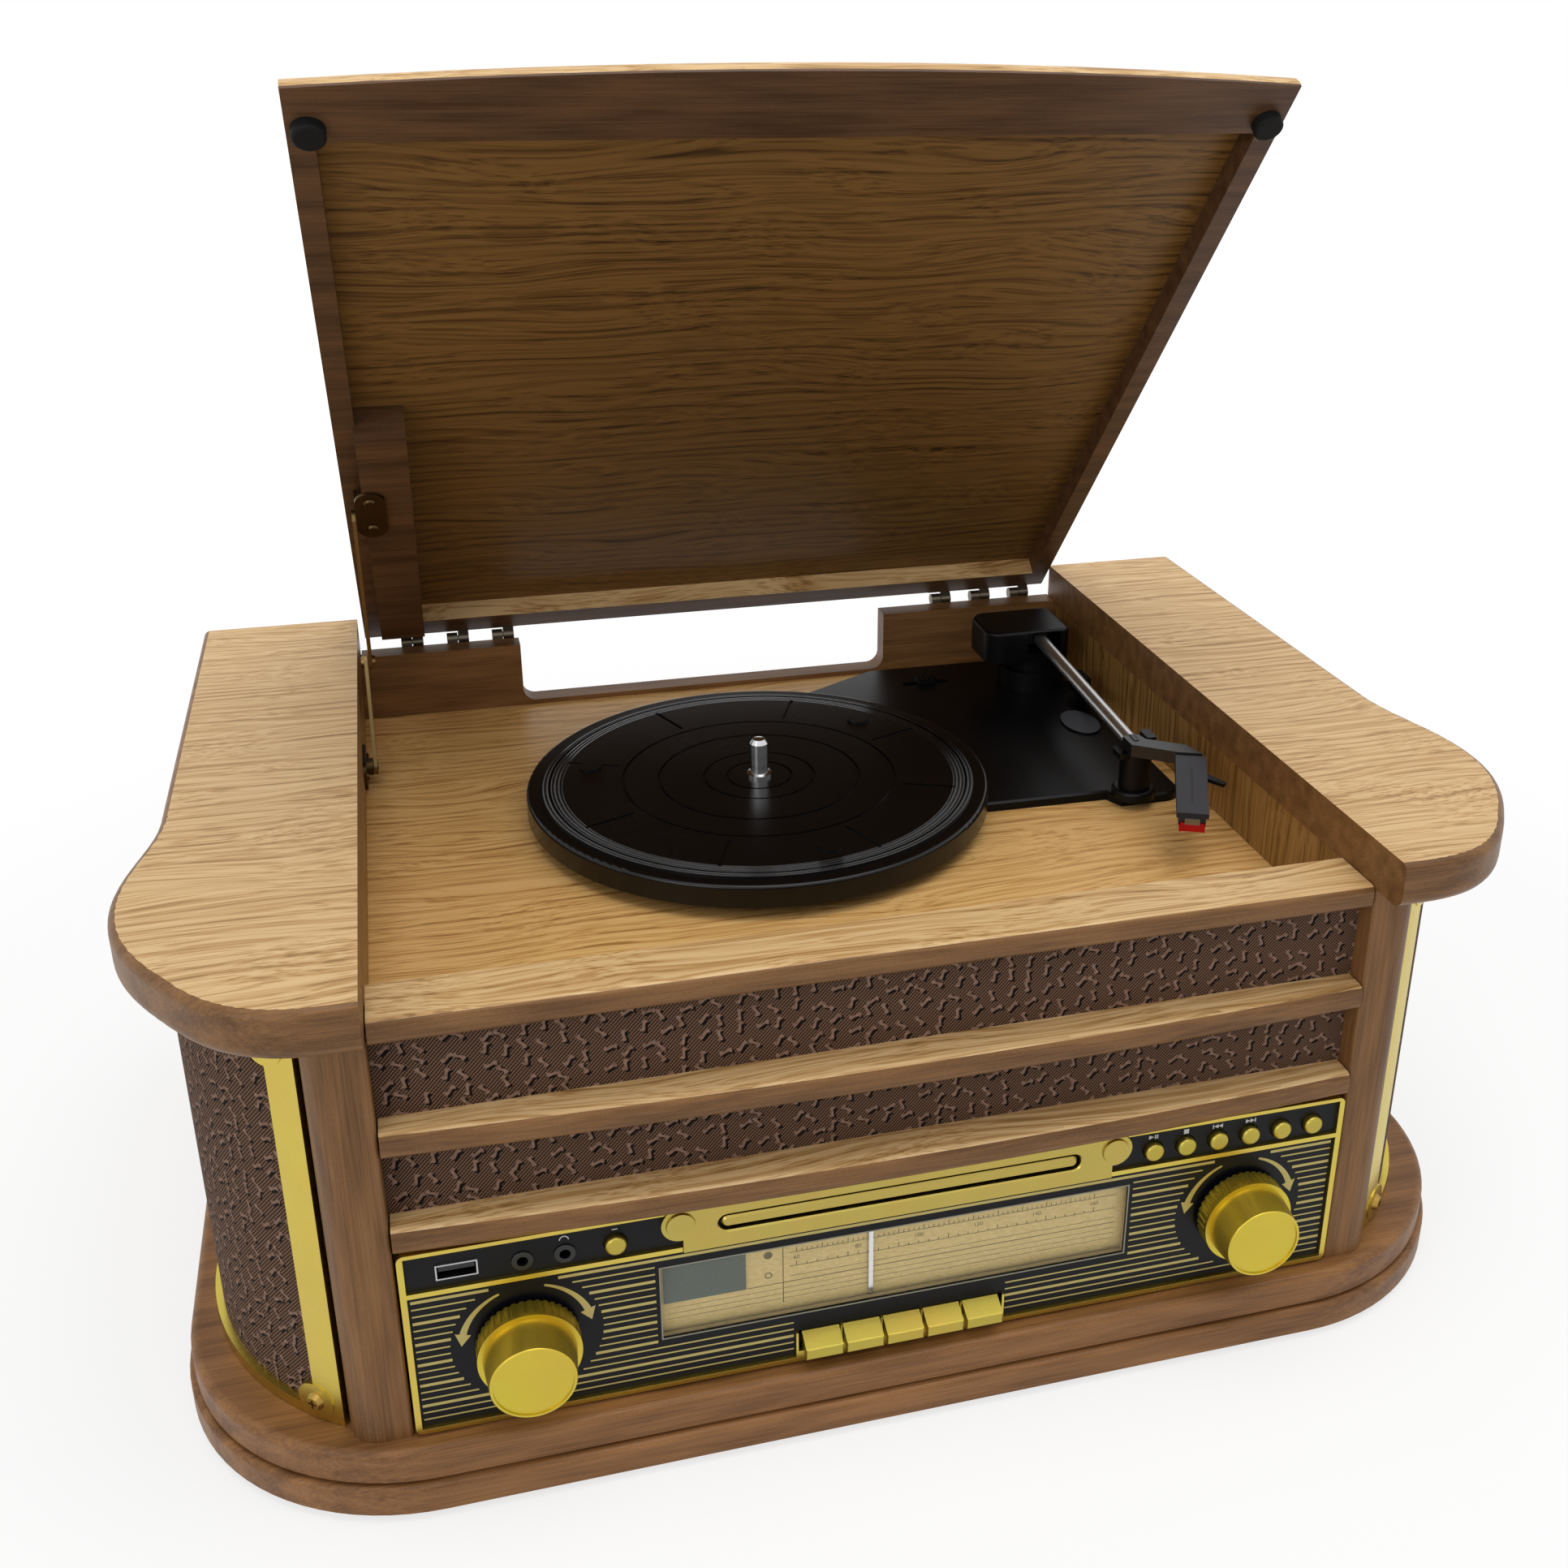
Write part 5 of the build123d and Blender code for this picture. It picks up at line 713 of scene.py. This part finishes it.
class MUSIC_OT_panel(bpy.types.Operator):
    """Print the lines, the turning arrows and the small marks on the black panel"""

    bl_idname = "music.panel"
    bl_label = "Panel Print"

    def execute(self, context):
        gold_ink = printed_ink("Gold foil print", "#b9a866", 0.4, 0.5)
        self.print_lines(context.scene.music_panel, gold_ink)
        self.print_window_edge()
        self.print_arrows(gold_ink)
        self.print_marks()
        self.finish_plates()
        return {"FINISHED"}

    def finish_plates(self):
        """Finish the black plate, grey in its window, and the sockets, and lay a black field round each knob."""
        near = 0.2

        def window_walls(look, place):
            across = between(look, place, (1, 0, 0), -WINDOW_HALF - near, WINDOW_HALF + near)
            upward = between(look, place, (0, 0, 1), WINDOW_LOW - near, WINDOW_HIGH + near)
            behind = beyond(look, place, (0, 1, 0), PLATE_FACE + 0.05)
            return both(look, both(look, across, upward), behind)

        name = "Aluminium plate, black satin paint"
        finish("panel_plate", moulded_plastic(name, "#0b0b10", 0.38, 0.5, 0.015, "#9c8d66", window_walls))

        def shell(look, place):
            """One on the four walls of the flat socket, which stands left of the jacks."""
            left = beyond(look, place, (-1, 0, 0), 138.5)
            rim = beyond(look, place, (-1, 0, 0), 152.55)
            for direction, limit in (((1, 0, 0), -140.45), ((0, 0, 1), 94.45), ((0, 0, -1), -89.75)):
                rim = either(look, rim, beyond(look, place, direction, limit))
            return both(look, left, rim)

        finish("front_sockets", two_finish("Sockets, nickel shell and black moulding", "#0b0b0c", "#b9b9bb", shell))
        fields = bmesh.new()
        for side in (-1, 1):
            ring_span(fields, (side * KNOB_X, KNOB_Z), 4.5, KNOB_CLEAR, 0, 360, PLATE_FACE - 0.03, steps=64)
        black = moulded_plastic("Black satin field", "#0a0b12", 0.34, 0.5, 0.01)
        new_piece("knob_fields", fields, black, "cabinet")

    def print_lines(self, settings, ink):
        """Print the level lines, with a gap at each knob, at the dial window and at the keys."""
        top, bottom, half_width = 81.6, 31.8, 161.6
        window_gap, window_rise, keys_half, shortest = 1.8, 1.3, 38.2, 0.5
        pitch = settings.line_pitch / MM
        lines = bmesh.new()
        index = 0
        while top - pitch * index > bottom:
            z = top - pitch * index
            height = (settings.thick_line if index % 3 == 0 else settings.thin_line) / MM
            blocked = []
            rise = abs(z - KNOB_Z)
            if rise < KNOB_CLEAR:
                half = math.sqrt(KNOB_CLEAR**2 - rise**2)
                blocked += [(side * KNOB_X - half, side * KNOB_X + half) for side in (-1, 1)]
            if WINDOW_LOW - window_rise < z < WINDOW_HIGH + window_rise:
                blocked.append((-WINDOW_HALF - window_gap, WINDOW_HALF + window_gap))
            if z < WINDOW_LOW - window_rise:
                blocked.append((-keys_half, keys_half))
            spans = [(-half_width, half_width)]
            for start, end in sorted(blocked):
                cut = []
                for low, high in spans:
                    if start > low:
                        cut.append((low, min(high, start)))
                    if end < high:
                        cut.append((max(low, end), high))
                spans = [(low, high) for low, high in cut if high - low > shortest]
            for low, high in spans:
                flat_bar(lines, low, high, z - height / 2, z + height / 2, PRINT_DEPTH)
            index += 1
        new_piece("panel_lines", lines, ink, "cabinet")

    def print_window_edge(self):
        """Print the grey line round the dial window."""
        border = bmesh.new()
        width = 0.5
        low, high, half = WINDOW_LOW, WINDOW_HIGH, WINDOW_HALF
        for corners in (
            [(-half - width, low - width), (half + width, low - width), (half, low), (-half, low)],
            [(-half, high), (half, high), (half + width, high + width), (-half - width, high + width)],
            [(-half - width, low - width), (-half, low), (-half, high), (-half - width, high + width)],
            [(half, low), (half + width, low - width), (half + width, high + width), (half, high)],
        ):
            flat_shape(border, corners, PRINT_DEPTH)
        ink = printed_ink("Silver-grey print", "#8f8c78", 0.4)
        new_piece("window_edge", border, ink, "cabinet")

    def print_arrows(self, ink):
        """Print two curved arrows round each knob, each wider towards its head."""
        arrows = bmesh.new()
        head_angle = 13
        for side in (-1, 1):
            x, z = side * KNOB_X, KNOB_Z
            for start, end in ((72, 20), (112, 164)):
                ring_span(arrows, (x, z), 20.6, 21.4, start, end, PRINT_DEPTH, widen=1.5)
                turn = math.copysign(1, end - start)
                base, tip = math.radians(end), math.radians(end + turn * head_angle)
                corners = ((18.4, base), (23.6, base), (21.0, tip))
                points = [(x + r * math.cos(a), z + r * math.sin(a)) for r, a in corners]
                flat_shape(arrows, points if turn > 0 else points[::-1], PRINT_DEPTH)
        new_piece("knob_arrows", arrows, ink, "cabinet")

    def print_marks(self):
        """Print the small white signs over the buttons and the jacks."""
        marks = bmesh.new()
        z = 97.0
        first, step = 90.9, 12.3  # the first button and the distance to the next
        tall, stroke = 1.7, 0.45

        def bar(x, width=stroke, height=tall):
            flat_bar(marks, x, x + width, z - height / 2, z + height / 2, PRINT_DEPTH)

        def triangle(x, width):
            flat_shape(marks, [(x, z - tall / 2), (x + width, z), (x, z + tall / 2)], PRINT_DEPTH)

        triangle(first - 1.9, 1.9)
        bar(first + 0.3)
        bar(first + 1.1)
        bar(first + step - 0.95, 1.9, 1.9)
        triangle(first + 2 * step + tall, -tall)
        triangle(first + 2 * step, -tall)
        bar(first + 2 * step - 2.2)
        triangle(first + 3 * step - tall, tall)
        triangle(first + 3 * step, tall)
        bar(first + 3 * step + 1.75)
        ring_span(marks, (-112.8, 96.2), 1.25, 1.6, 0, 180, PRINT_DEPTH)
        bar(-97.6, 1.8, 0.4)
        new_piece("button_marks", marks, printed_ink("White screen print", "#c9c8c4", 0.5), "cabinet")


class MUSIC_OT_dial(bpy.types.Operator):
    """Print the dial card with its scales and fit the display, the needle and the pane"""

    bl_idname = "music.dial"
    bl_label = "Dial"

    def execute(self, context):
        finish("dial_board", dial_print("Printed card, cream"))
        finish("dial_window", clear_pane("Acrylic pane, clear"))
        finish("needle", plain_metal("Aluminium needle, bright", "#dcdcdc", 0.22))
        ink = printed_ink("Grey-brown dial ink", "#6b5d40", 0.6)
        depth = DIAL_FACE - 0.05
        scale_start, scale_end, card_end, display_end = -36.0, 72.0, 80.5, -38.5
        ticks, tick_width = 60, 0.28
        scales = bmesh.new()

        def tick(x, low, high, width=tick_width):
            flat_bar(scales, x - width / 2, x + width / 2, low, high, depth)

        for index in range(ticks + 1):
            x = scale_start + (scale_end - scale_start) * index / ticks
            tick(x, 71.2, 73.2 if index % 5 == 0 else 72.4)
            if index % 2 == 0:
                tick(x, 65.4, 67.4 if index % 10 == 0 else 66.5)
        levels = ((71.1, 0.22), (65.3, 0.22), (61.2, 0.16), (58.9, 0.3), (56.6, 0.16), (54.4, 0.16), (52.2, 0.16))
        for z, height in levels:
            left = -card_end if z < 59.0 else display_end
            flat_bar(scales, left, card_end, z, z + height, depth)
        tick(-40.7, 50.5, 76.5, 0.3)
        ring_span(scales, (-45.8, 71.6), 0.0, 1.5, 0, 360, depth, steps=20)
        ring_span(scales, (-45.8, 63.1), 0.9, 1.3, 0, 360, depth, steps=20)
        new_piece("dial_scales", scales, ink, "cabinet")

        texts = []
        for row_z, values in ((74.0, range(88, 109, 4)), (68.2, range(60, 161, 20))):
            for index, value in enumerate(values):
                curve = bpy.data.curves.new(f"dial_number_{row_z:.0f}_{index}", "FONT")
                curve.body = str(value)
                curve.size = 2.3 * MM
                curve.align_x = "CENTER"
                text = put(curve.name, curve)
                text.rotation_euler = (math.radians(90), 0, 0)
                x = scale_start + (scale_end - scale_start) * index / 5
                text.location = (x * MM, depth * MM, row_z * MM)
                texts.append(text)
        bpy.context.view_layer.update()
        numbers = bmesh.new()
        for text in texts:
            mesh = bpy.data.meshes.new_from_object(text)
            mesh.transform(text.matrix_world)
            numbers.from_mesh(mesh)
            bpy.data.objects.remove(text)
            bpy.data.meshes.remove(mesh)
        new_piece("dial_numbers", numbers, ink, "cabinet")

        middle, size = (-67.65, -146.55, 68.35), (28.0, 0.3, 17.2)
        glass = bmesh.new()
        bmesh.ops.create_cube(glass, size=1.0)
        for vertex in glass.verts:
            vertex.co = [(m + c * s) * MM for m, c, s in zip(middle, vertex.co, size)]
        bmesh.ops.bevel(glass, geom=glass.edges[:], offset=0.1 * MM, segments=2, affect="EDGES")
        new_piece("display_glass", glass, display_glass("Liquid-crystal display glass"), "cabinet")
        return {"FINISHED"}


class MUSIC_OT_player(bpy.types.Operator):
    """Finish the record player: deck, platter, spindle and tone arm"""

    bl_idname = "music.player"
    bl_label = "Record Player"

    def execute(self, context):
        pad_level, tube_back, tube_front = 162.2, -104.0, 15.5
        black = moulded_plastic("ABS, moulded black", "#070708", 0.36, 0.9, 0.03)
        finish("tonearm_base tonearm_yoke cue_lever speed_switch", black)
        pad = limit_mask((0, 0, 1), pad_level)
        deck = moulded_plastic("ABS, black deck with grey pad", "#060607", 0.34, 0.9, 0.03, "#3e3e44", pad)
        finish("deck_plate", deck)
        finish("platter", ribbed_platter("ABS, moulded black, ribbed platter"))
        finish("spindle", plain_metal("Steel spindle, polished", "#cfcfd0", 0.16))

        def bright_part(look, place):
            return between(look, place, (0, -1, 0), tube_back, tube_front)

        tube = two_finish("Tone arm, polished tube and black ends", "#0c0c0d", "#dedede", bright_part)
        finish("tonearm_tube", tube)
        self.dress_headshell()
        return {"FINISHED"}

    def dress_headshell(self):
        """Finish the headshell and add on it the slot, a black sheet of painted shade, the cartridge's steel face and
        the red stylus holder.
        """
        lean = math.radians(HEAD_ANGLE)
        out = Vector((-math.sin(lean), -math.cos(lean), 0.0))
        side = Vector((math.cos(lean), -math.sin(lean), 0.0))
        back = Vector((HEAD_X, HEAD_Y, ARM_Z))
        down = Vector((0, 0, -1)) + out * -0.052
        shell_t, lift_start = 5.0, 6.15

        def black_parts(look, place):
            cartridge = beyond(look, place, tuple(down), down.dot(back) + shell_t)
            lift = beyond(look, place, tuple(side), side.dot(back) + lift_start)
            return either(look, cartridge, lift)

        shell = moulded_plastic("ABS, grey headshell", "#302f33", 0.4, 0.7, 0.02, "#0c0c0e", black_parts)
        finish("headshell", shell)

        def at(u, v, w):
            """Point from its places along the shell, across it and upward, in millimetres."""
            return (back + out * u + side * v + Vector((0, 0, w))) * MM

        def block(target, middle, size, bevel):
            """Add a bevelled block; middle and size are given as in at."""
            cube = bmesh.ops.create_cube(target, size=1.0)["verts"]
            for vertex in cube:
                vertex.co = at(*(m + c * s for m, c, s in zip(middle, vertex.co, size)))
            edges = {edge for vertex in cube for edge in vertex.link_edges}
            bmesh.ops.bevel(target, geom=list(edges), offset=bevel * MM, segments=2, affect="EDGES")

        red = bmesh.new()
        block(red, (40.9, 0.0, -9.5), (3.4, 8.8, 1.9), 0.4)
        for across in (-3.7, 3.7):
            block(red, (42.2, across, -8.3), (0.9, 1.3, 1.6), 0.2)
        new_piece("stylus_guard", red, moulded_plastic("ABS, red stylus holder", "#b01616", 0.3), "arm")
        face = bmesh.new()
        block(face, (42.15, 0.0, -7.0), (0.5, 5.4, 2.4), 0.15)
        new_piece("cartridge_face", face, plain_metal("Steel plate, nickel plated", "#9aa0a4", 0.3), "arm")
        # The slot is a flat black sheet: painted shade, not a cut in the shell.
        groove = bmesh.new()
        near, far, half = 10.0, 35.0, 0.5
        top, fall = 1.97, 5.4 / 42.0
        corners = ((near, half), (near, -half), (far, -half), (far, half))
        groove.faces.new([groove.verts.new(at(u, v, top - fall * u)) for u, v in corners])
        slot = printed_ink("Shadowed slot, black", "#08080a", 0.6)
        new_piece("headshell_groove", groove, slot, "arm")


class MUSIC_OT_lid(bpy.types.Operator):
    """Finish the lid, its hinges, bumpers and folding stay"""

    bl_idname = "music.lid"
    bl_label = "Lid"

    def execute(self, context):
        wood = context.scene.music_wood
        tilt = math.radians(LID_ANGLE)
        inward = (0.0, math.cos(tilt), -math.sin(tilt))
        outward = (0.0, math.sin(tilt), math.cos(tilt))
        hinge = HINGE_Y * inward[1] + HINGE_Z * inward[2]
        level = HINGE_Y * outward[1] + HINGE_Z * outward[2]
        turn = (LID_ANGLE, 0, 0)
        wall_near, wall_far, wall_left, wall_right = 14.4, 13.6, -136.6, 154.6

        def light_faces(look, place):
            near = between(look, place, inward, hinge - wall_near, hinge - wall_far)
            inside = between(look, place, (1, 0, 0), wall_left, wall_right)
            wall = both(look, near, inside)
            front = beyond(look, place, (0.0, -inward[1], -inward[2]), NOSE_START - hinge)
            nose = both(look, front, beyond(look, place, outward, level + NOSE_LEVEL))
            return either(look, wall, nose)

        # The lid's inner face uses oak darkened to brown: painted shade, while the natural oak outside stays as lit.
        brown = ("#3c2711", "#694922", "#7f5c2e")
        outside = limit_mask(outward, level + PANEL_UNDERSIDE)
        name = "Oak veneer, natural outside and painted shade inside"
        finish("lid_panel", veneered_wood(name, wood, turn, codes=brown, outer_mask=outside))
        # The frame's stain is darker than the posts' stain of the same wood: painted shade.
        edge = ("#412a19", "#65462d")
        rim = veneered_wood("Stained lid frame with oak inner wall and nose", wood, turn, light_faces, edge_codes=edge)
        finish("lid_frame", rim)
        finish("lid_bumpers", moulded_plastic("Moulded rubber, soft", "#121212", 0.7, 0.8, 0.05))
        finish("stay_bracket lid_stay_bracket", plain_metal("Steel bracket, bronzed", "#4d3d26", 0.36))
        finish("hinge_leaves lid_hinge_leaves", plain_metal("Steel hinge, dull nickel", "#6a6154", 0.34))
        finish("stay_arm_upper stay_arm_lower", plain_metal("Steel stay, dull brassed", "#7d6743", 0.34))
        return {"FINISHED"}


class MUSIC_OT_inside(bpy.types.Operator):
    """Finish what the cabinet holds inside and the sockets on its back"""

    bl_idname = "music.inside"
    bl_label = "Inside Parts"

    def execute(self, context):
        finish("main_board", circuit_board("Glass fibre circuit board"))
        finish("motor", plain_metal("Steel motor can, zinc plated", "#9a9b9d", 0.32))
        finish("cd_drive", plain_metal("Steel drive case, zinc plated", "#8d8e90", 0.38, 250.0))
        finish("speakers", moulded_plastic("Paper cone and pressed basket, black", "#171616", 0.6, 1.4, 0.06))
        finish("rear_sockets", moulded_plastic("ABS socket plates, black", "#101011", 0.4, 0.7, 0.03))
        return {"FINISHED"}


class MUSIC_OT_stage(bpy.types.Operator):
    """Set the floor, the lamps and the camera"""

    bl_idname = "music.stage"
    bl_label = "Stage"

    def execute(self, context):
        context.scene.view_settings.view_transform = "Standard"
        self.lay_floor()
        self.set_lights(context.scene)
        self.set_camera(context.scene)
        return {"FINISHED"}

    def lay_floor(self):
        """White paper: matte by the object so that it keeps the shadow, glowing further out to reach white."""
        paper = cleared(bpy.data.materials.new("White paper sweep"))
        seen = background_rays(paper)
        place = add_node(paper, "ShaderNodeTexCoord").outputs["Object"]
        pale = spread(paper, vector(paper, "LENGTH", place), 0.62, 1.0, 0.45, 1.3)
        matte = add_node(paper, "ShaderNodeBsdfDiffuse", {"Color": linear("#e4e4e4")}).outputs[0]
        glow = add_node(paper, "ShaderNodeEmission", {"Color": linear("#ffffff"), "Strength": 1.16}).outputs[0]
        mix = add_node(paper, "ShaderNodeMixShader", {0: both(paper, seen, pale), 1: matte, 2: glow})
        add_node(paper, "ShaderNodeOutputMaterial", {"Surface": mix.outputs[0]})
        shape = bmesh.new()
        bmesh.ops.create_grid(shape, x_segments=1, y_segments=1, size=6.0)
        floor = put_shape("floor", shape, paper)

    def set_lights(self, scene):
        """A white sky, seen at full white but lighting at half, and two soft square lamps."""
        world = scene.world = cleared(bpy.data.worlds.new("Studio"))
        strength = spread(world, background_rays(world), 0.5, 1.0)
        sky = add_node(world, "ShaderNodeBackground", {"Color": linear("#ffffff"), "Strength": strength})
        add_node(world, "ShaderNodeOutputWorld", {"Surface": sky.outputs[0]})
        power = scene.music_stage.key_power
        aim = Vector((0, -0.05, 0.1))
        for name, place, size, watts in (
            ("overhead", (0.15, -0.30, 1.8), 1.6, power),
            ("front", (-1.7, -1.5, 1.15), 1.2, power * 0.66),
        ):
            lamp = bpy.data.lights.new(name, "AREA")
            lamp.shape = "SQUARE"
            lamp.size = size
            lamp.energy = watts
            holder = put(name, lamp)
            holder.location = place
            holder.rotation_euler = (aim - Vector(place)).to_track_quat("-Z", "Y").to_euler()

    def set_camera(self, scene):
        """The photograph's viewing place, angle and frame."""
        camera = bpy.data.cameras.new("camera")
        camera.sensor_width = 36.0
        camera.lens = scene.music_stage.lens
        camera.shift_x = -0.0590
        camera.shift_y = -0.0414
        viewer = put("camera", camera)
        viewer.location = (-0.1382, -0.5944, 0.4629)
        viewer.rotation_euler = Euler([math.radians(angle) for angle in (66.8922, -0.6564, -15.6448)])
        scene.camera = viewer


class MUSIC_PT_sidebar(bpy.types.Panel):
    """Lists the settings and the steps of the music centre"""

    bl_idname = "MUSIC_PT_sidebar"
    bl_label = "Music Centre"
    bl_space_type = "VIEW_3D"
    bl_region_type = "UI"
    bl_category = "Music Centre"

    def draw(self, context):
        for group_name, group in GROUPS:
            box = self.layout.box()
            for name in group.__annotations__:
                box.prop(getattr(context.scene, group_name), name)
        for step in STEPS:
            self.layout.operator(step.bl_idname)


GROUPS = (("music_wood", WoodSettings), ("music_panel", PanelSettings), ("music_stage", StageSettings))
STEPS = (
    MUSIC_OT_stage,
    MUSIC_OT_cabinet,
    MUSIC_OT_cloth,
    MUSIC_OT_trim,
    MUSIC_OT_panel,
    MUSIC_OT_dial,
    MUSIC_OT_player,
    MUSIC_OT_lid,
    MUSIC_OT_inside,
)


def register():
    """Register the settings, the steps and the sidebar."""
    for name, group in GROUPS:
        bpy.utils.register_class(group)
        setattr(bpy.types.Scene, name, bpy.props.PointerProperty(type=group))
    for step in STEPS:
        bpy.utils.register_class(step)
    bpy.utils.register_class(MUSIC_PT_sidebar)


def unregister():
    """Undo what register did."""
    bpy.utils.unregister_class(MUSIC_PT_sidebar)
    for step in reversed(STEPS):
        bpy.utils.unregister_class(step)
    for name, group in reversed(GROUPS):
        delattr(bpy.types.Scene, name)
        bpy.utils.unregister_class(group)


def main():
    """Run every step in order."""
    register()
    bpy.ops.music.stage()
    bpy.ops.music.cabinet()
    bpy.ops.music.cloth()
    bpy.ops.music.trim()
    bpy.ops.music.panel()
    bpy.ops.music.dial()
    bpy.ops.music.player()
    bpy.ops.music.lid()
    bpy.ops.music.inside()


if __name__ == "__main__":
    main()
